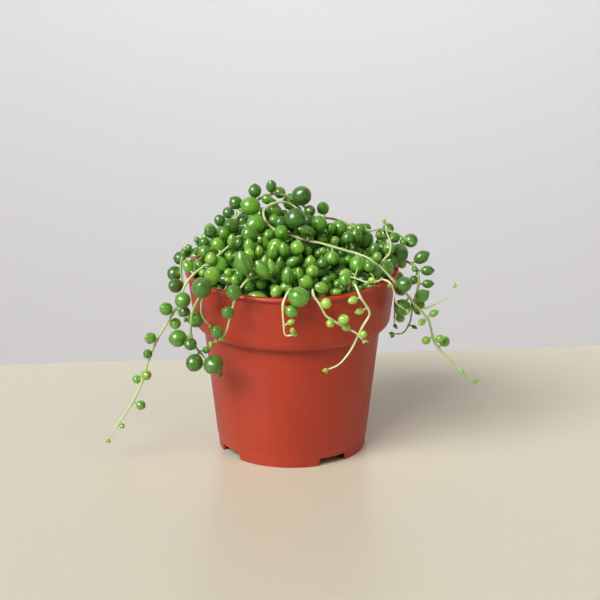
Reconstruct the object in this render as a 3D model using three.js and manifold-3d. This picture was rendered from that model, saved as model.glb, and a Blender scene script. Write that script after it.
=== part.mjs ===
// A string of pearls in a moulded nursery pot.
//
// The pot is one thin moulding with a collar, a rounded shoulder, a slim body and a notched foot.
// A plug of potting mix fills it. The plant is a set of separate leafy stems: each is rooted in
// its own plain hole in the mix, and carries its bead-shaped leaves ("pearls") on short stalks.
// Coiled stems make the mat inside the collar and the heap on top of it, and trailing stems
// arch out of them and hang over the rim.
//
// Millimetres, +Z up. The origin is the middle of the pot's foot, on the table. -Y is the front.

import * as THREE from "three";
import { mergeVertices } from "three/addons/utils/BufferGeometryUtils.js";
import Module from "manifold-3d";

const wasm = await Module();
wasm.setup();

// ---------------------------------------------------------------- driving dimensions

const pot = {
  height: 92,
  rimRadius: 52.8, // outside of the bead
  beadHeight: 2.4,
  beadOut: 1.4, // how far the bead stands out of the collar
  collarFoot: [48.9, 67.9], // radius and height where the collar begins to round in
  ledge: 0.6, // flat underside that draws the dark line under the collar
  bodyTop: [43.9, 63.3],
  bodyFoot: [37.6, 7.0],
  footRadius: 36.7,
  footStep: 0.3, // the foot band stands in from the body by this much
  wall: 1.3,
  lipRadius: 1.7, // the whole lip, bead and wall, lies inside a ring of this section radius
  floorUnder: 4.6,
  notches: 4,
  notchFirst: -56.5, // degrees from +X to the first notch's middle
  notchAngle: 23.5,
  notchHeight: 4.0,
  notchSlope: 0.7, // each notch is this much wider at the table than at its top, each side
  drainHoles: 8,
  drainRadius: 3.2,
  drainRing: 27.5,
  drainSides: 8,
  segments: 36,
};

const soil = {
  edgeTop: 80, // height of the mix at the wall
  crown: 3.5, // how much higher the middle lies
  bump: 0.7,
  clearance: 0.5, // between the mix and the pot
  segments: 16,
  rings: [0.8, 0.58, 0.34, 0], // the top's rings of corners, as shares of its radius
  holeRadius: 2, // corner radius of a stem's square hole
  holeDepth: 6,
  holeRise: 4, // how far the cut reaches above the mix
};

const soilRadius = 48; // where the crown has fallen to the edge's height

const stem = {
  radius: 0.85, // corner radius of a trailing stem's three-sided section
  coilRadius: 0.75,
  rootDepth: 4.5, // how far a stem goes down into its hole
  riser: 3, // straight stretch above the mix
  berth: 1.9, // how widely a coiled stem keeps clear of what was laid before it
  sides: 3,
  step: 6, // length of one straight facet of a trailing stem
  coilStep: 8,
  smoothing: 12, // points worked out between two points of a route
  fine: 1, // spacing of the points that pearls are placed by
  smallest: 0.15, // slivers finer than this are taken off a finished stem
};

const pearl = {
  sides: 6,
  plainSides: 5,
  gap: 0.4, // least distance between pieces of different stems
  ownGap: 0.15, // and between pearls of one stem
  stalk: 0.8, // shortest stalk, with the share of the size below added
  stalkShare: 0.1,
  least: 2.6, // a pearl that would have to be smaller than this is left out
  slim: 0.8, // width of a young lemon-shaped pearl for its length
  shares: [1, 0.9, 0.8, 0.7, 0.6, 0.5], // sizes tried in turn where there is little room
  slimShare: 0.35, // how many of the drawn pearls are lemon-shaped
};

// How pearls are drawn along the stems that aren't listed one by one.
const coilGrowth = { up: 0.1, sizes: [6.8, 10.4], stalks: [0.3, 2.4], tries: 30 };
const trailGrowth = {
  spacing: 6.6,
  up: -0.3,
  sizes: [4.6, 8.6],
  stalks: [0.6, 1.6],
  tries: 16,
  outward: true,
};

const coilWave = { bend: 9, side: 1.2, rise: 1.3, sideTurn: 0.09, riseTurn: 0.07 };
const trail = { root: 39.5, over: 4, out: 2.5, tuck: 0.1, fall: 11, drift: [-6, 5] };

const colours = { pot: 0xb5462c, soil: 0x3a2a1e, young: 0x6fae45, leaf: 0x3f8a2c };

// ---------------------------------------------------------------- trailing and heaped stems
//
// root: where the stem leaves the mix, [x, y]
// route: points that the stem passes through
// pearls: [mm along the route, diameter, and which way it leans: right, back, up]
// slim: places in the list of pearls that are young and lemon-shaped
// shoots: side shoots, each with where it leaves the stem and the points that it passes through

const handLaid = [
  {
    name: "left_trail",
    root: [-20, -5],
    route: [
      [-24, -4, 110], [-31, -9, 105], [-40, -16, 99], [-46, -21, 96], [-51, -24, 91], [-55, -27, 81],
      [-61, -28, 71], [-65, -28, 64], [-70, -28, 52], [-73, -28, 42], [-77, -28, 33], [-83, -28, 23],
      [-88, -28, 16], [-90, -28, 11],
    ],
    pearls: [
      [8, 5.5, 1, -4, 2], [15, 7.2, -1, 4, 3], [19, 7.7, 2, -3, -1], [19, 6.2, -2, 4, -1],
      [33, 6.9, -3, 4, 4], [47, 7.9, 1, -3, 1], [52, 5.4, 4, 0, -1], [54, 6.7, -1, -1, 1],
      [58, 5.7, 1, 1, -1], [70, 5.7, -4, -4, 3], [79, 4.7, -1, -4, 3], [89, 5.2, 1, -3, 1],
      [91, 4.5, -3, 2, -1], [104, 4.7, 2, 0, -1], [118, 3.4, 3, -4, 0],
    ],
    slim: [0, 4, 14],
  },
  {
    name: "left_cluster",
    root: [-25, -28],
    route: [
      [-33, -35, 96], [-38, -40, 96], [-43, -43, 91], [-47, -42, 83], [-48, -41, 76], [-48, -39, 69],
      [-45, -39, 62], [-40, -40, 57], [-34, -41, 50],
    ],
    pearls: [
      [3, 8, -2, -3, 3], [14, 10.3, 0, -4, 3], [25, 8, 1, 3, -4], [38, 8.6, -4, 0, -1],
      [41, 6.1, -1, -4, 0], [47, 3.6, 4, -1, 1], [47, 8.6, -1, -2, -2], [55, 9.6, 1, -4, 1],
    ],
    slim: [],
    shoots: [{ at: 12, route: [[-43, -47, 86], [-42, -47, 81], [-38, -46, 76]], pearls: [] }],
  },
  {
    name: "front_left_loop",
    root: [-9, -28],
    route: [
      [-7, -36, 95], [-12, -37, 98], [-18, -40, 99], [-22, -45, 98], [-25, -50, 95], [-27, -51, 91],
      [-28, -51, 86], [-30, -51, 79], [-31, -50, 75], [-34, -49, 71], [-39, -46, 68],
    ],
    pearls: [
      [0, 4.9, 0, -3, -1], [4, 6.1, 2, -1, 3], [26, 7.4, -1, -4, 2], [38, 6, -1, -4, 4],
      [49, 6.1, -2, -3, 3], [53, 2.8, 0, -3, 1], [53, 2.6, 4, 0, 1],
    ],
    slim: [0, 6],
  },
  {
    name: "front_short",
    root: [2, -38],
    route: [
      [0, -46, 95], [-2, -53, 95], [-4, -57, 91], [-4, -57, 86], [-3, -55, 76], [-2, -55, 73],
      [1, -56, 76],
    ],
    pearls: [[7, 10.3, 1, -1, 0], [14, 6, 4, 1, -3], [24, 3.8, 2, 0, 1], [33, 3.6, 0, -3, 4]],
    slim: [2, 3],
  },
  {
    name: "front_mid",
    root: [12, -36],
    route: [
      [10, -47, 95], [11, -54, 93], [15, -55, 88], [17, -54, 83], [21, -53, 81], [25, -52, 78],
      [29, -52, 76], [32, -52, 74], [35, -52, 70],
    ],
    pearls: [
      [12, 5.3, 3, -4, 3], [20, 4.3, 0, -3, -1], [24, 5.3, 4, -3, 3], [33, 4.3, -4, -1, 3],
      [38, 3.9, 1, -2, 2],
    ],
    slim: [],
  },
  {
    name: "front_right_bare",
    root: [27, -28],
    route: [
      [29, -40, 96], [31, -45, 95], [33, -46, 90], [36, -44, 85], [37, -43, 81], [35, -44, 78],
      [32, -46, 73], [30, -46, 68], [27, -47, 63], [22, -49, 58], [16, -51, 56],
    ],
    pearls: [[9, 5.1, -4, -3, -1], [17, 4.3, -3, 0, -1]],
    slim: [0, 1],
  },
  {
    name: "long_diagonal",
    root: [11, 4],
    route: [
      [9, 3, 106], [6, 7, 116], [1, 10, 120], [-3, 8, 123], [-8, 5, 123], [-13, 2, 122],
      [-14, -1, 119], [-13, -3, 117], [-11, -5, 114], [-8, -7, 113], [-1, -9, 111], [7, -12, 109],
      [15, -14, 108], [23, -16, 106], [32, -18, 104], [36, -20, 103], [41, -22, 100], [44, -24, 98],
      [47, -26, 95], [50, -26, 92], [54, -23, 88], [58, -20, 81], [64, -18, 74], [66, -18, 72],
      [68, -17, 66], [69, -17, 61], [72, -16, 55], [77, -16, 50], [81, -15, 45], [86, -15, 41],
      [91, -15, 37],
    ],
    pearls: [
      [30, 7.8, 0, 2, -3], [36, 9.7, -4, 0, 1], [43, 9.2, -1, -1, 0], [49, 5.5, -3, -4, -2],
      [53, 7.2, 0, -4, 1], [61, 7.4, 0, -1, -1], [80, 7.2, -1, -1, -3], [92, 8.6, 0, -3, -2],
      [101, 4.9, 2, -3, 4], [106, 6.7, -3, -4, 0], [120, 7.9, 1, -4, 2], [128, 8.4, -1, 0, -2],
      [132, 6.8, 3, 0, 2], [134, 7.4, 1, 3, -1], [143, 4.7, 2, 0, 1], [144, 4.2, -3, -3, -1],
      [154, 4.3, -2, -1, -1], [156, 4.5, 2, -2, 1], [161, 5.3, 4, 3, 3], [177, 3.4, 1, -4, 0],
    ],
    slim: [14, 15, 19],
    shoots: [
      { at: 94, route: [[31, -25, 101], [32, -29, 99], [30, -32, 97]], pearls: [[14, 5.6, -1, 0, 0]] },
      { at: 138, route: [[70, -18, 78], [74, -17, 81], [78, -16, 84], [79, -16, 87]], pearls: [] },
    ],
  },
  {
    name: "upright_tip",
    root: [38, -8],
    route: [[45, -8, 98], [47, -10, 101], [49, -10, 105], [47, -9, 109], [46, -8, 113], [45, -8, 118]],
    pearls: [[2, 6.2, 1, 2, 2]],
    slim: [],
  },
  {
    name: "right_runner",
    root: [37, -14],
    route: [
      [42, -22, 93.5], [43, -30, 95], [41, -35, 95.5], [35, -38, 96], [30, -38, 98], [24, -36, 99],
    ],
    pearls: [[20, 3.8, 4, -4, 3]],
    slim: [0],
    shoots: [
      {
        at: 8,
        route: [[47, -33, 94], [49, -35, 90], [50, -35, 85], [53, -31, 81], [56, -28, 78]],
        pearls: [[7, 2.8, -1, -3, 1]],
      },
    ],
  },
  {
    name: "crest",
    root: [16.5, 13.8],
    route: [
      [11, 13, 112], [6, 14, 119], [1, 14, 122], [-6, 12, 126], [-14, 10, 125], [-21, 8, 121],
      [-27, 6, 116], [-33, 4, 111], [-39, 1, 106], [-44, -1, 103], [-49, -3, 101], [-52, -4, 103],
    ],
    pearls: [
      [6, 5.8, 1, -4, 1], [12, 10.3, 1, -3, 3], [16, 8.9, 0, 2, -1], [21, 6, -1, 3, 0],
      [27, 6.9, 0, -1, 2], [33, 5.3, 4, -4, 1], [36, 6.9, 0, 0, 1], [43, 6.8, -1, 0, 1],
      [49, 6, -3, 3, 2], [56, 5.8, -2, -1, 4], [62, 6.3, -2, -3, 3], [67, 5, -4, 3, -1],
      [71, 3.8, -1, 0, 2], [77, 3.8, 4, -2, -1], [78, 3.4, 1, -4, 2],
    ],
    slim: [4, 12],
  },
  {
    name: "right_drape",
    root: [36, 6],
    route: [
      [47, 8, 93.5], [53, 6, 94], [58, 2, 93.5], [62, -5, 91], [62, -8, 84], [60, -9, 78],
      [59, -9, 71], [58, -10, 66], [56, -11, 62], [52, -12, 61], [49, -14, 62],
    ],
    pearls: [
      [4, 10.4, 1, -4, 3], [14, 8, 3, 0, 2], [17, 3.9, 0, -1, 0], [20, 6.3, 1, 0, 0],
      [21, 4.5, -1, -1, -2], [27, 5.5, 1, 0, 0], [40, 3, 4, -3, -2], [48, 2.7, 2, 0, -1],
    ],
    slim: [1, 2, 3, 5],
  },
  {
    name: "back_right_arc",
    root: [8, 20],
    route: [
      [7, 21, 102], [7, 19, 107], [10, 18, 110], [14, 17, 112], [19, 17, 112], [24, 16, 111],
      [29, 15, 109], [35, 14, 107], [41, 13, 107], [46, 12, 108], [51, 11, 106], [56, 9, 104],
      [60, 7, 101],
    ],
    pearls: [
      [8, 10.8, -4, -2, 1], [7, 6.8, 4, 0, 1], [17, 6.6, -1, 3, 4], [28, 8.4, -3, -3, -1],
      [37, 9.8, 0, -2, -1], [37, 6.4, 1, 4, -1], [51, 5.8, -1, 4, 0], [56, 5.3, -3, -4, 0],
      [57, 3.6, 1, -4, -3], [63, 7.1, 0, 1, 0],
    ],
    slim: [],
  },
  {
    name: "left_arc",
    root: [-18, -24.5],
    route: [[-22, -30, 100], [-25, -34, 102], [-28, -38, 101]],
    pearls: [[2, 8.1, 1, -4, 4], [9, 5.3, 1, 0, -4], [9, 4.3, -1, -1, 0]],
    slim: [0],
  },
  {
    name: "left_shoulder",
    root: [-28, 8],
    route: [[-21, 5, 110], [-26, 3, 112], [-30, 1, 110], [-35, -1, 105], [-41, -4, 101], [-46, -9, 98]],
    pearls: [[2, 6.3, -1, 4, 2], [7, 7.8, -1, -2, 1], [10, 5.7, -4, -2, -3], [22, 6.3, -1, 0, -1]],
    slim: [],
  },
];

// Coiled stems: [name, middle of the ring, its radius, height, direction of the first point,
// sweep in degrees, pearl spacing, root]. The heap lies behind and left of the middle.
const coils = [
  ["heap_coil_1", [-9, 9], 8, 112, 205, 300, 4.8, [-10.5, 6.8]],
  ["heap_coil_2", [-9, 9], 17, 106.5, 262, 330, 4.6, [-11.5, -5]],
  ["heap_coil_3", [-9, 9], 27, 101, 330, 330, 5.6, [12.4, -2.5]],
  ["mat_coil_1", [0, 0], 8, 98, 100, 290, 6],
  ["mat_coil_2", [0, 0], 17, 96, 167, 320, 5.8],
  ["mat_coil_3a", [0, 0], 26, 94, 234, 165, 4.8],
  ["mat_coil_3b", [0, 0], 26, 94, 54, 165, 6.5],
  ["mat_coil_4a", [0, 0], 35, 91.5, 301, 168, 5.8],
  ["mat_coil_4b", [0, 0], 35, 91.5, 121, 168, 4.8],
  ["mat_coil_5a", [0, 0], 44, 88, 8, 112, 6],
  ["mat_coil_5b", [0, 0], 44, 88, 128, 112, 5.4],
  ["mat_coil_5c", [0, 0], 44, 88, 248, 112, 4.6],
];
// Trailing stems round the back: [direction in degrees from +X, drop below the rim].
const backTrails = [
  [24, 34],
  [58, 22],
  [86, 52],
  [118, 30],
  [147, 64],
  [172, 26],
];

// ---------------------------------------------------------------- seeded draws and vectors

let seed = 20231;
function draw() {
  seed = (seed * 16807) % 2147483647;
  return seed / 2147483647;
}
const drawBetween = (low, high) => low + (high - low) * draw();

const add = (a, b, k = 1) => [a[0] + b[0] * k, a[1] + b[1] * k, a[2] + b[2] * k];
const dot = (a, b) => a[0] * b[0] + a[1] * b[1] + a[2] * b[2];
const length = (a) => Math.sqrt(dot(a, a));
const unit = (a) => {
  const l = length(a);
  return [a[0] / l, a[1] / l, a[2] / l];
};
const onRing = (radius, degrees, z) => {
  const a = (degrees * Math.PI) / 180;
  return [radius * Math.cos(a), radius * Math.sin(a), z];
};

// ---------------------------------------------------------------- the pot's shape

const between = (a, b, t) => a + (b - a) * t;
function outerRadius(z) {
  const [collarRadius, collarZ] = pot.collarFoot;
  const [bodyRadius, bodyZ] = pot.bodyTop;
  const collarTop = pot.rimRadius - pot.beadOut;
  if (z > collarZ) return between(collarRadius, collarTop, (z - collarZ) / (pot.height - collarZ));
  if (z > bodyZ) return between(bodyRadius, collarRadius, (z - bodyZ) / (collarZ - bodyZ));
  return between(pot.footRadius, bodyRadius, z / bodyZ);
}
const innerRadius = (z) => outerRadius(z) - pot.wall;

function soilTop(x, y) {
  const r2 = (x * x + y * y) / (soilRadius * soilRadius);
  const bumps = Math.sin(x * 0.31 + 1) * Math.cos(y * 0.27) + 0.6 * Math.sin(x * 0.13 - y * 0.44);
  return soil.edgeTop + soil.crown * (1 - r2) + soil.bump * bumps;
}

// ---------------------------------------------------------------- room for a pearl

const solidsNear = { x: [], y: [], z: [], r: [], owner: [], kind: [] };
function occupy(p, radius, owner, kind) {
  solidsNear.x.push(p[0]);
  solidsNear.y.push(p[1]);
  solidsNear.z.push(p[2]);
  solidsNear.r.push(radius);
  solidsNear.owner.push(owner);
  solidsNear.kind.push(kind);
}

function occupyStem({ line, radius, index }) {
  for (const p of line) occupy(p, radius, index, "stem");
}

// Distance from a point to the pot's wall or rim, inside or outside the pot.
function potRoom(p) {
  const r = Math.sqrt(p[0] * p[0] + p[1] * p[1]);
  const outOfLip = r - (pot.rimRadius - pot.beadHeight / 2);
  const overLip = p[2] - (pot.height - pot.beadHeight / 2);
  const toLip = Math.sqrt(outOfLip * outOfLip + overLip * overLip) - pot.lipRadius;
  if (p[2] >= pot.height) return toLip;
  const outer = outerRadius(p[2]);
  if (r > outer - pot.wall / 2) return Math.min(toLip, r - outer, p[2]);
  return Math.min(toLip, innerRadius(p[2]) - r, p[2] - soilTop(p[0], p[1]));
}

// How large a sphere round p may be before it meets another piece.
function roomAt(p, owner) {
  let room = potRoom(p) - pearl.gap;
  const { x, y, z, r, owner: owners, kind } = solidsNear;
  for (let i = 0; i < x.length; i++) {
    const own = owners[i] === owner;
    if (own && kind[i] === "stem") continue;
    const dx = x[i] - p[0];
    const dy = y[i] - p[1];
    const dz = z[i] - p[2];
    const free = Math.sqrt(dx * dx + dy * dy + dz * dz) - r[i] - (own ? pearl.ownGap : pearl.gap);
    if (free < room) room = free;
  }
  return room;
}

// ---------------------------------------------------------------- stem lines

// Points at an even spacing along a line of points.
function spaced(points, spacing) {
  const out = [points[0]];
  let left = spacing;
  for (let i = 1; i < points.length; i++) {
    let from = points[i - 1];
    let gap = length(add(points[i], from, -1));
    while (gap >= left) {
      from = add(from, unit(add(points[i], from, -1)), left);
      out.push(from);
      gap -= left;
      left = spacing;
    }
    left -= gap;
  }
  return out;
}

// The smooth line through the points.
function smoothLine(points) {
  const curve = new THREE.CatmullRomCurve3(points.map((p) => new THREE.Vector3(...p)));
  const count = (points.length - 1) * stem.smoothing;
  const dense = [];
  for (let i = 0; i <= count; i++) dense.push(curve.getPoint(i / count).toArray());
  return spaced(dense, stem.fine);
}

// A smooth line in straight facets: their corners, and points close together along them.
function faceted(smooth, step) {
  const count = Math.max(2, Math.round((smooth.length - 1) / step));
  const corners = [];
  for (let i = 0; i <= count; i++) corners.push(smooth[Math.round(((smooth.length - 1) * i) / count)]);
  return { corners, line: spaced(corners, stem.fine) };
}

const strands = [];
function addStrand(name, root, route, options) {
  const top = soilTop(root[0], root[1]);
  const rootPoints = [
    [root[0], root[1], top - stem.rootDepth],
    [root[0], root[1], top + stem.riser],
  ];
  const strand = {
    name,
    index: strands.length,
    root,
    pearls: [],
    shoots: [],
    radius: stem.radius,
    coiled: false,
    ...options,
  };
  let smooth = smoothLine([...rootPoints, ...route]);
  if (strand.coiled) smooth = giveWay(smooth, strand.radius);
  Object.assign(strand, faceted(smooth, strand.coiled ? stem.coilStep : stem.step));
  strand.start = nearest(strand.line, route[0]);
  strands.push(strand);
  occupyStem(strand);
  return strand;
}

function nearest(line, point) {
  let best = 0;
  line.forEach((p, i) => {
    if (length(add(p, point, -1)) < length(add(line[best], point, -1))) best = i;
  });
  return best;
}

// A coiled stem gives way to the stems and pearls that were laid before it.
function giveWay(smooth, radius) {
  const { x, y, z, r } = solidsNear;
  let points = smooth;
  for (let pass = 0; pass < 4; pass++)
    points = points.map((p, i) => {
      if (i < stem.rootDepth + stem.riser) return p;
      let moved = p;
      for (let k = 0; k < x.length; k++) {
        const away = add(moved, [x[k], y[k], z[k]], -1);
        const d = length(away);
        const apart = radius + r[k] + stem.berth;
        if (d < apart && d > 0) moved = add(moved, away, (apart - d) / d);
      }
      return moved;
    });
  return points;
}

function layHandStrand({ name, root, route, shoots }) {
  const strand = addStrand(name, root, route, {});
  for (const shoot of shoots ?? []) {
    const points = [strand.line[strand.start + shoot.at], ...shoot.route];
    const side = faceted(smoothLine(points), stem.step);
    strand.shoots.push(side);
    occupyStem({ ...side, index: strand.index, radius: strand.radius });
  }
}

function dressHandStrand({ pearls, slim, shoots }, index) {
  const strand = strands[index];
  placeListed(strand, strand.line, strand.start, pearls, slim);
  (shoots ?? []).forEach((shoot, i) => placeListed(strand, strand.shoots[i].line, 0, shoot.pearls, []));
}

// One coiled stem: it rises from the mix, then follows its ring with a slow wave.
function layCoil([name, middle, radius, height, from, sweep, spacing, root]) {
  const ringLength = (radius * sweep * Math.PI) / 180;
  const steps = Math.max(4, Math.round(ringLength / coilWave.bend));
  const route = [];
  for (let i = 1; i <= steps; i++) {
    const angle = from + (sweep * i) / steps;
    const aside = coilWave.side * Math.sin(angle * coilWave.sideTurn + radius);
    const up = coilWave.rise * Math.sin(angle * coilWave.riseTurn + radius);
    const p = onRing(radius + aside, angle, height + up);
    route.push([p[0] + middle[0], p[1] + middle[1], p[2]]);
  }
  addStrand(name, root ?? onRing(radius, from, 0).slice(0, 2), route, {
    radius: stem.coilRadius,
    coiled: true,
    grow: { ...coilGrowth, spacing },
  });
}

// A stem that comes out of the mat, goes over the rim and hangs down beside the wall.
function layBackTrail([degrees, drop], index) {
  const rim = pot.rimRadius;
  const drift = trail.drift[index % 2];
  const route = [
    onRing(rim - 10, degrees, pot.height + trail.over),
    onRing(rim - 1, degrees + drift * 0.2, pot.height + trail.over + 2),
    onRing(rim + trail.out, degrees + drift * 0.5, pot.height + 0.6),
  ];
  const falls = Math.ceil(drop / trail.fall);
  for (let i = 1; i <= falls; i++) {
    const down = (drop * i) / falls;
    const out = rim + trail.out - trail.tuck * down;
    route.push(onRing(out, degrees + drift * (0.5 + i * 0.5), pot.height - down));
  }
  const root = onRing(trail.root, degrees - 4, 0).slice(0, 2);
  addStrand(`back_trail_${index + 1}`, root, route, { grow: trailGrowth });
}

// ---------------------------------------------------------------- pearls

// A pearl, the cone that carries it and its point, as spheres: how far each lies from the stem,
// as shares of the reach and of the pearl's radius, and its own radius as a share.
const bulk = [
  [1, 0, 1.04],
  [1, 0.85, 0.27],
  [0.5, 0, 0.6],
  [0.3, 0, 0.36],
];

// The pearl that leans this way off the stem, or nothing if it meets another piece.
function pearlThatFits(strand, from, lean, size, stalk) {
  const reach = strand.radius * 0.7 + stalk + size / 2;
  const r = size / 2;
  const spheres = bulk.map(([a, b, wide]) => [add(from, lean, reach * a + r * b), wide * r]);
  if (spheres.some(([p, radius]) => roomAt(p, strand.index) < radius)) return null;
  return { centre: spheres[0][0], spheres, lean, size, reach };
}

function keepPearl(strand, found, slim) {
  strand.pearls.push({ ...found, slim });
  for (const [p, radius] of found.spheres) occupy(p, radius, strand.index, "pearl");
}

// A listed pearl keeps its place, and is made smaller where its neighbours leave less room.
function placeListed(strand, line, start, pearls, slim) {
  pearls.forEach(([at, size, right, back, up], i) => {
    const from = line[Math.min(start + at, line.length - 1)];
    const lean = unit([right, back, up]);
    for (const share of pearl.shares) {
      const tried = size * share;
      const stalk = pearl.stalk + pearl.stalkShare * size + (size - tried) * 0.3;
      const found = tried >= pearl.least && pearlThatFits(strand, from, lean, tried, stalk);
      if (found) return keepPearl(strand, found, slim.includes(i) ? pearl.slim : 1);
    }
  });
}

// Pearls of a coiled or back stem: at each place the largest that fits is kept, out of several
// drawn directions. On a coiled stem the one that looks most upward wins, and on a hanging stem
// the one that looks half outward, half aside.
function growPearls(strand) {
  const { spacing, up, sizes, stalks, tries, outward } = strand.grow;
  for (let at = strand.start + 1; at < strand.line.length - 0.5; at += spacing) {
    const i = Math.round(at);
    const from = strand.line[i];
    const along = unit(add(strand.line[Math.min(i + 1, strand.line.length - 1)], strand.line[i - 1], -1));
    const sky = outward ? unit([from[0], from[1], 20]) : [0, 0, 1];
    const wanted = drawBetween(sizes[0], sizes[1]);
    const slim = draw() < pearl.slimShare ? pearl.slim : 1;
    const draws = [];
    for (let k = 0; k < tries; k++) {
      const v = [drawBetween(-1, 1), drawBetween(-1, 1), drawBetween(-1, 1)];
      const lean = unit(add(v, along, -dot(v, along) * 0.9));
      const facing = outward ? 0.5 - Math.abs(dot(lean, sky) - 0.5) : dot(lean, sky);
      draws.push({ lean, stalk: drawBetween(stalks[0], stalks[1]), facing });
    }
    draws.sort((a, b) => b.facing - a.facing);
    for (const share of pearl.shares) {
      const size = wanted * share;
      if (size < pearl.least) break;
      const find = (d) => d.facing >= up && pearlThatFits(strand, from, d.lean, size, d.stalk);
      const best = draws.find(find);
      if (!best) continue;
      keepPearl(strand, find(best), slim);
      break;
    }
  }
}

handLaid.forEach(layHandStrand);
backTrails.forEach(layBackTrail);
handLaid.forEach(dressHandStrand);
coils.forEach(layCoil);
strands.filter((s) => s.grow).forEach(growPearls);

// ---------------------------------------------------------------- solids

// A closed three.js geometry as a solid, with its shared corners merged.
function solidOf(geometry) {
  const g = geometry.clone();
  g.deleteAttribute("normal");
  g.deleteAttribute("uv");
  const merged = mergeVertices(g, 1e-4);
  const solid = new wasm.Manifold(
    new wasm.Mesh({
      numProp: 3,
      vertProperties: merged.attributes.position.array,
      triVerts: new Uint32Array(merged.index.array),
    }),
  );
  return solid.volume() < 0 ? solidOf(turnedOut(geometry)) : solid;
}

function turnedOut(geometry) {
  const g = geometry.index ? geometry.clone() : mergeVertices(geometry);
  const index = Array.from(g.index.array);
  for (let i = 0; i < index.length; i += 3) [index[i + 1], index[i + 2]] = [index[i + 2], index[i + 1]];
  g.setIndex(index);
  return g;
}

function geometryOf(solid) {
  const mesh = solid.getMesh();
  const n = mesh.numProp;
  const position = new Float32Array(mesh.numVert * 3);
  for (let i = 0; i < mesh.numVert; i++)
    position.set(mesh.vertProperties.subarray(i * n, i * n + 3), i * 3);
  const g = new THREE.BufferGeometry();
  g.setAttribute("position", new THREE.BufferAttribute(position, 3));
  g.setIndex(new THREE.BufferAttribute(mesh.triVerts, 1));
  g.computeVertexNormals();
  return g;
}

// A profile of [radius, height] turned round the Z axis.
function turned(profile, segments) {
  const lathe = new THREE.LatheGeometry(profile.map((p) => new THREE.Vector2(...p)), segments);
  return lathe.rotateX(Math.PI / 2);
}

function potSolid() {
  const { height, rimRadius, beadHeight, beadOut, collarFoot, ledge, bodyTop, bodyFoot, wall } = pot;
  const collarTop = rimRadius - beadOut;
  const underside = bodyTop[0] + ledge;
  const rounding = [];
  for (let i = 0; i <= 3; i++) {
    const a = (i / 3) * (Math.PI / 2);
    rounding.push([
      underside + (collarFoot[0] - underside) * Math.sin(a),
      bodyTop[1] + (collarFoot[1] - bodyTop[1]) * (1 - Math.cos(a)),
    ]);
  }
  const floorTop = pot.floorUnder + wall;
  const profile = [
    [0, pot.floorUnder],
    [pot.footRadius - wall, pot.floorUnder],
    [pot.footRadius - wall, 0],
    [pot.footRadius, 0],
    [bodyFoot[0] - pot.footStep, bodyFoot[1] - pot.footStep],
    bodyFoot,
    bodyTop,
    ...rounding,
    [collarTop, height - beadHeight],
    [rimRadius, height - beadHeight * 0.7],
    [rimRadius, height - beadHeight * 0.25],
    [rimRadius - 0.6, height],
    [collarTop - wall, height],
    [collarFoot[0] - wall, collarFoot[1]],
    [bodyTop[0] - wall, bodyTop[1]],
    [bodyFoot[0] - wall, floorTop],
    [0, floorTop],
  ];
  let solid = solidOf(turned(profile, pot.segments));
  for (let i = 0; i < pot.notches; i++)
    solid = solid.subtract(solidOf(notchCutter(pot.notchFirst + (i * 360) / pot.notches)));
  const drains = [[0, 0]];
  for (let i = 0; i < pot.drainHoles; i++)
    drains.push(onRing(pot.drainRing, pot.notchFirst + ((i + 0.25) * 360) / pot.drainHoles, 0));
  for (const [x, y] of drains) {
    const hole = new THREE.CylinderGeometry(pot.drainRadius, pot.drainRadius, wall * 3, pot.drainSides);
    hole.rotateX(Math.PI / 2).translate(x, y, pot.floorUnder + wall / 2);
    solid = solid.subtract(solidOf(hole));
  }
  return solid;
}

// A tapered prism that is wider at the table, set across the foot.
function notchCutter(degrees) {
  const half = pot.footRadius * Math.sin((pot.notchAngle * Math.PI) / 360);
  const shape = new THREE.Shape();
  shape.moveTo(-half - pot.notchSlope * 1.25, -1);
  shape.lineTo(half + pot.notchSlope * 1.25, -1);
  shape.lineTo(half, pot.notchHeight);
  shape.lineTo(-half, pot.notchHeight);
  const prism = new THREE.ExtrudeGeometry(shape, { depth: 12, bevelEnabled: false, steps: 1 });
  prism.rotateX(Math.PI / 2).rotateZ(Math.PI / 2).translate(pot.footRadius - 6, 0, 0);
  return prism.rotateZ((degrees * Math.PI) / 180);
}

function soilSolid() {
  const gap = soil.clearance;
  const bottom = pot.floorUnder + pot.wall + gap;
  const radiusIn = (z) => innerRadius(z) - gap;
  const profile = [
    [0, bottom],
    [pot.bodyFoot[0] - pot.wall - gap, bottom],
    [pot.bodyTop[0] - pot.wall - gap, pot.bodyTop[1] + gap],
    [pot.collarFoot[0] - pot.wall - gap, pot.collarFoot[1] + gap],
    [radiusIn(soil.edgeTop), soil.edgeTop],
  ];
  for (const share of soil.rings) profile.push([radiusIn(soil.edgeTop) * share, soil.edgeTop]);
  const g = turned(profile, soil.segments);
  const p = g.attributes.position;
  for (let i = 0; i < p.count; i++)
    if (p.getZ(i) > soil.edgeTop - 0.1) p.setZ(i, soilTop(p.getX(i), p.getY(i)));
  let solid = solidOf(g);
  const holeLength = soil.holeDepth + soil.holeRise;
  for (const { root } of strands) {
    const bottomOfHole = soilTop(root[0], root[1]) - soil.holeDepth;
    const hole = new THREE.CylinderGeometry(soil.holeRadius, soil.holeRadius, holeLength, 4);
    hole.rotateX(Math.PI / 2).translate(root[0], root[1], bottomOfHole + holeLength / 2);
    solid = solid.subtract(solidOf(hole));
  }
  return solid;
}

// A path that turns only at its corners.
class FacetedPath extends THREE.Curve {
  constructor(corners) {
    super();
    this.corners = corners.map((p) => new THREE.Vector3(...p));
  }

  getPoint(t) {
    const last = this.corners.length - 1;
    const i = Math.min(Math.floor(t * last + 1e-9), last - 1);
    return this.corners[i].clone().lerp(this.corners[i + 1], t * last - i);
  }

  getPointAt(u) {
    return this.getPoint(u);
  }

  getTangentAt(u) {
    return this.getTangent(u);
  }
}

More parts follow.
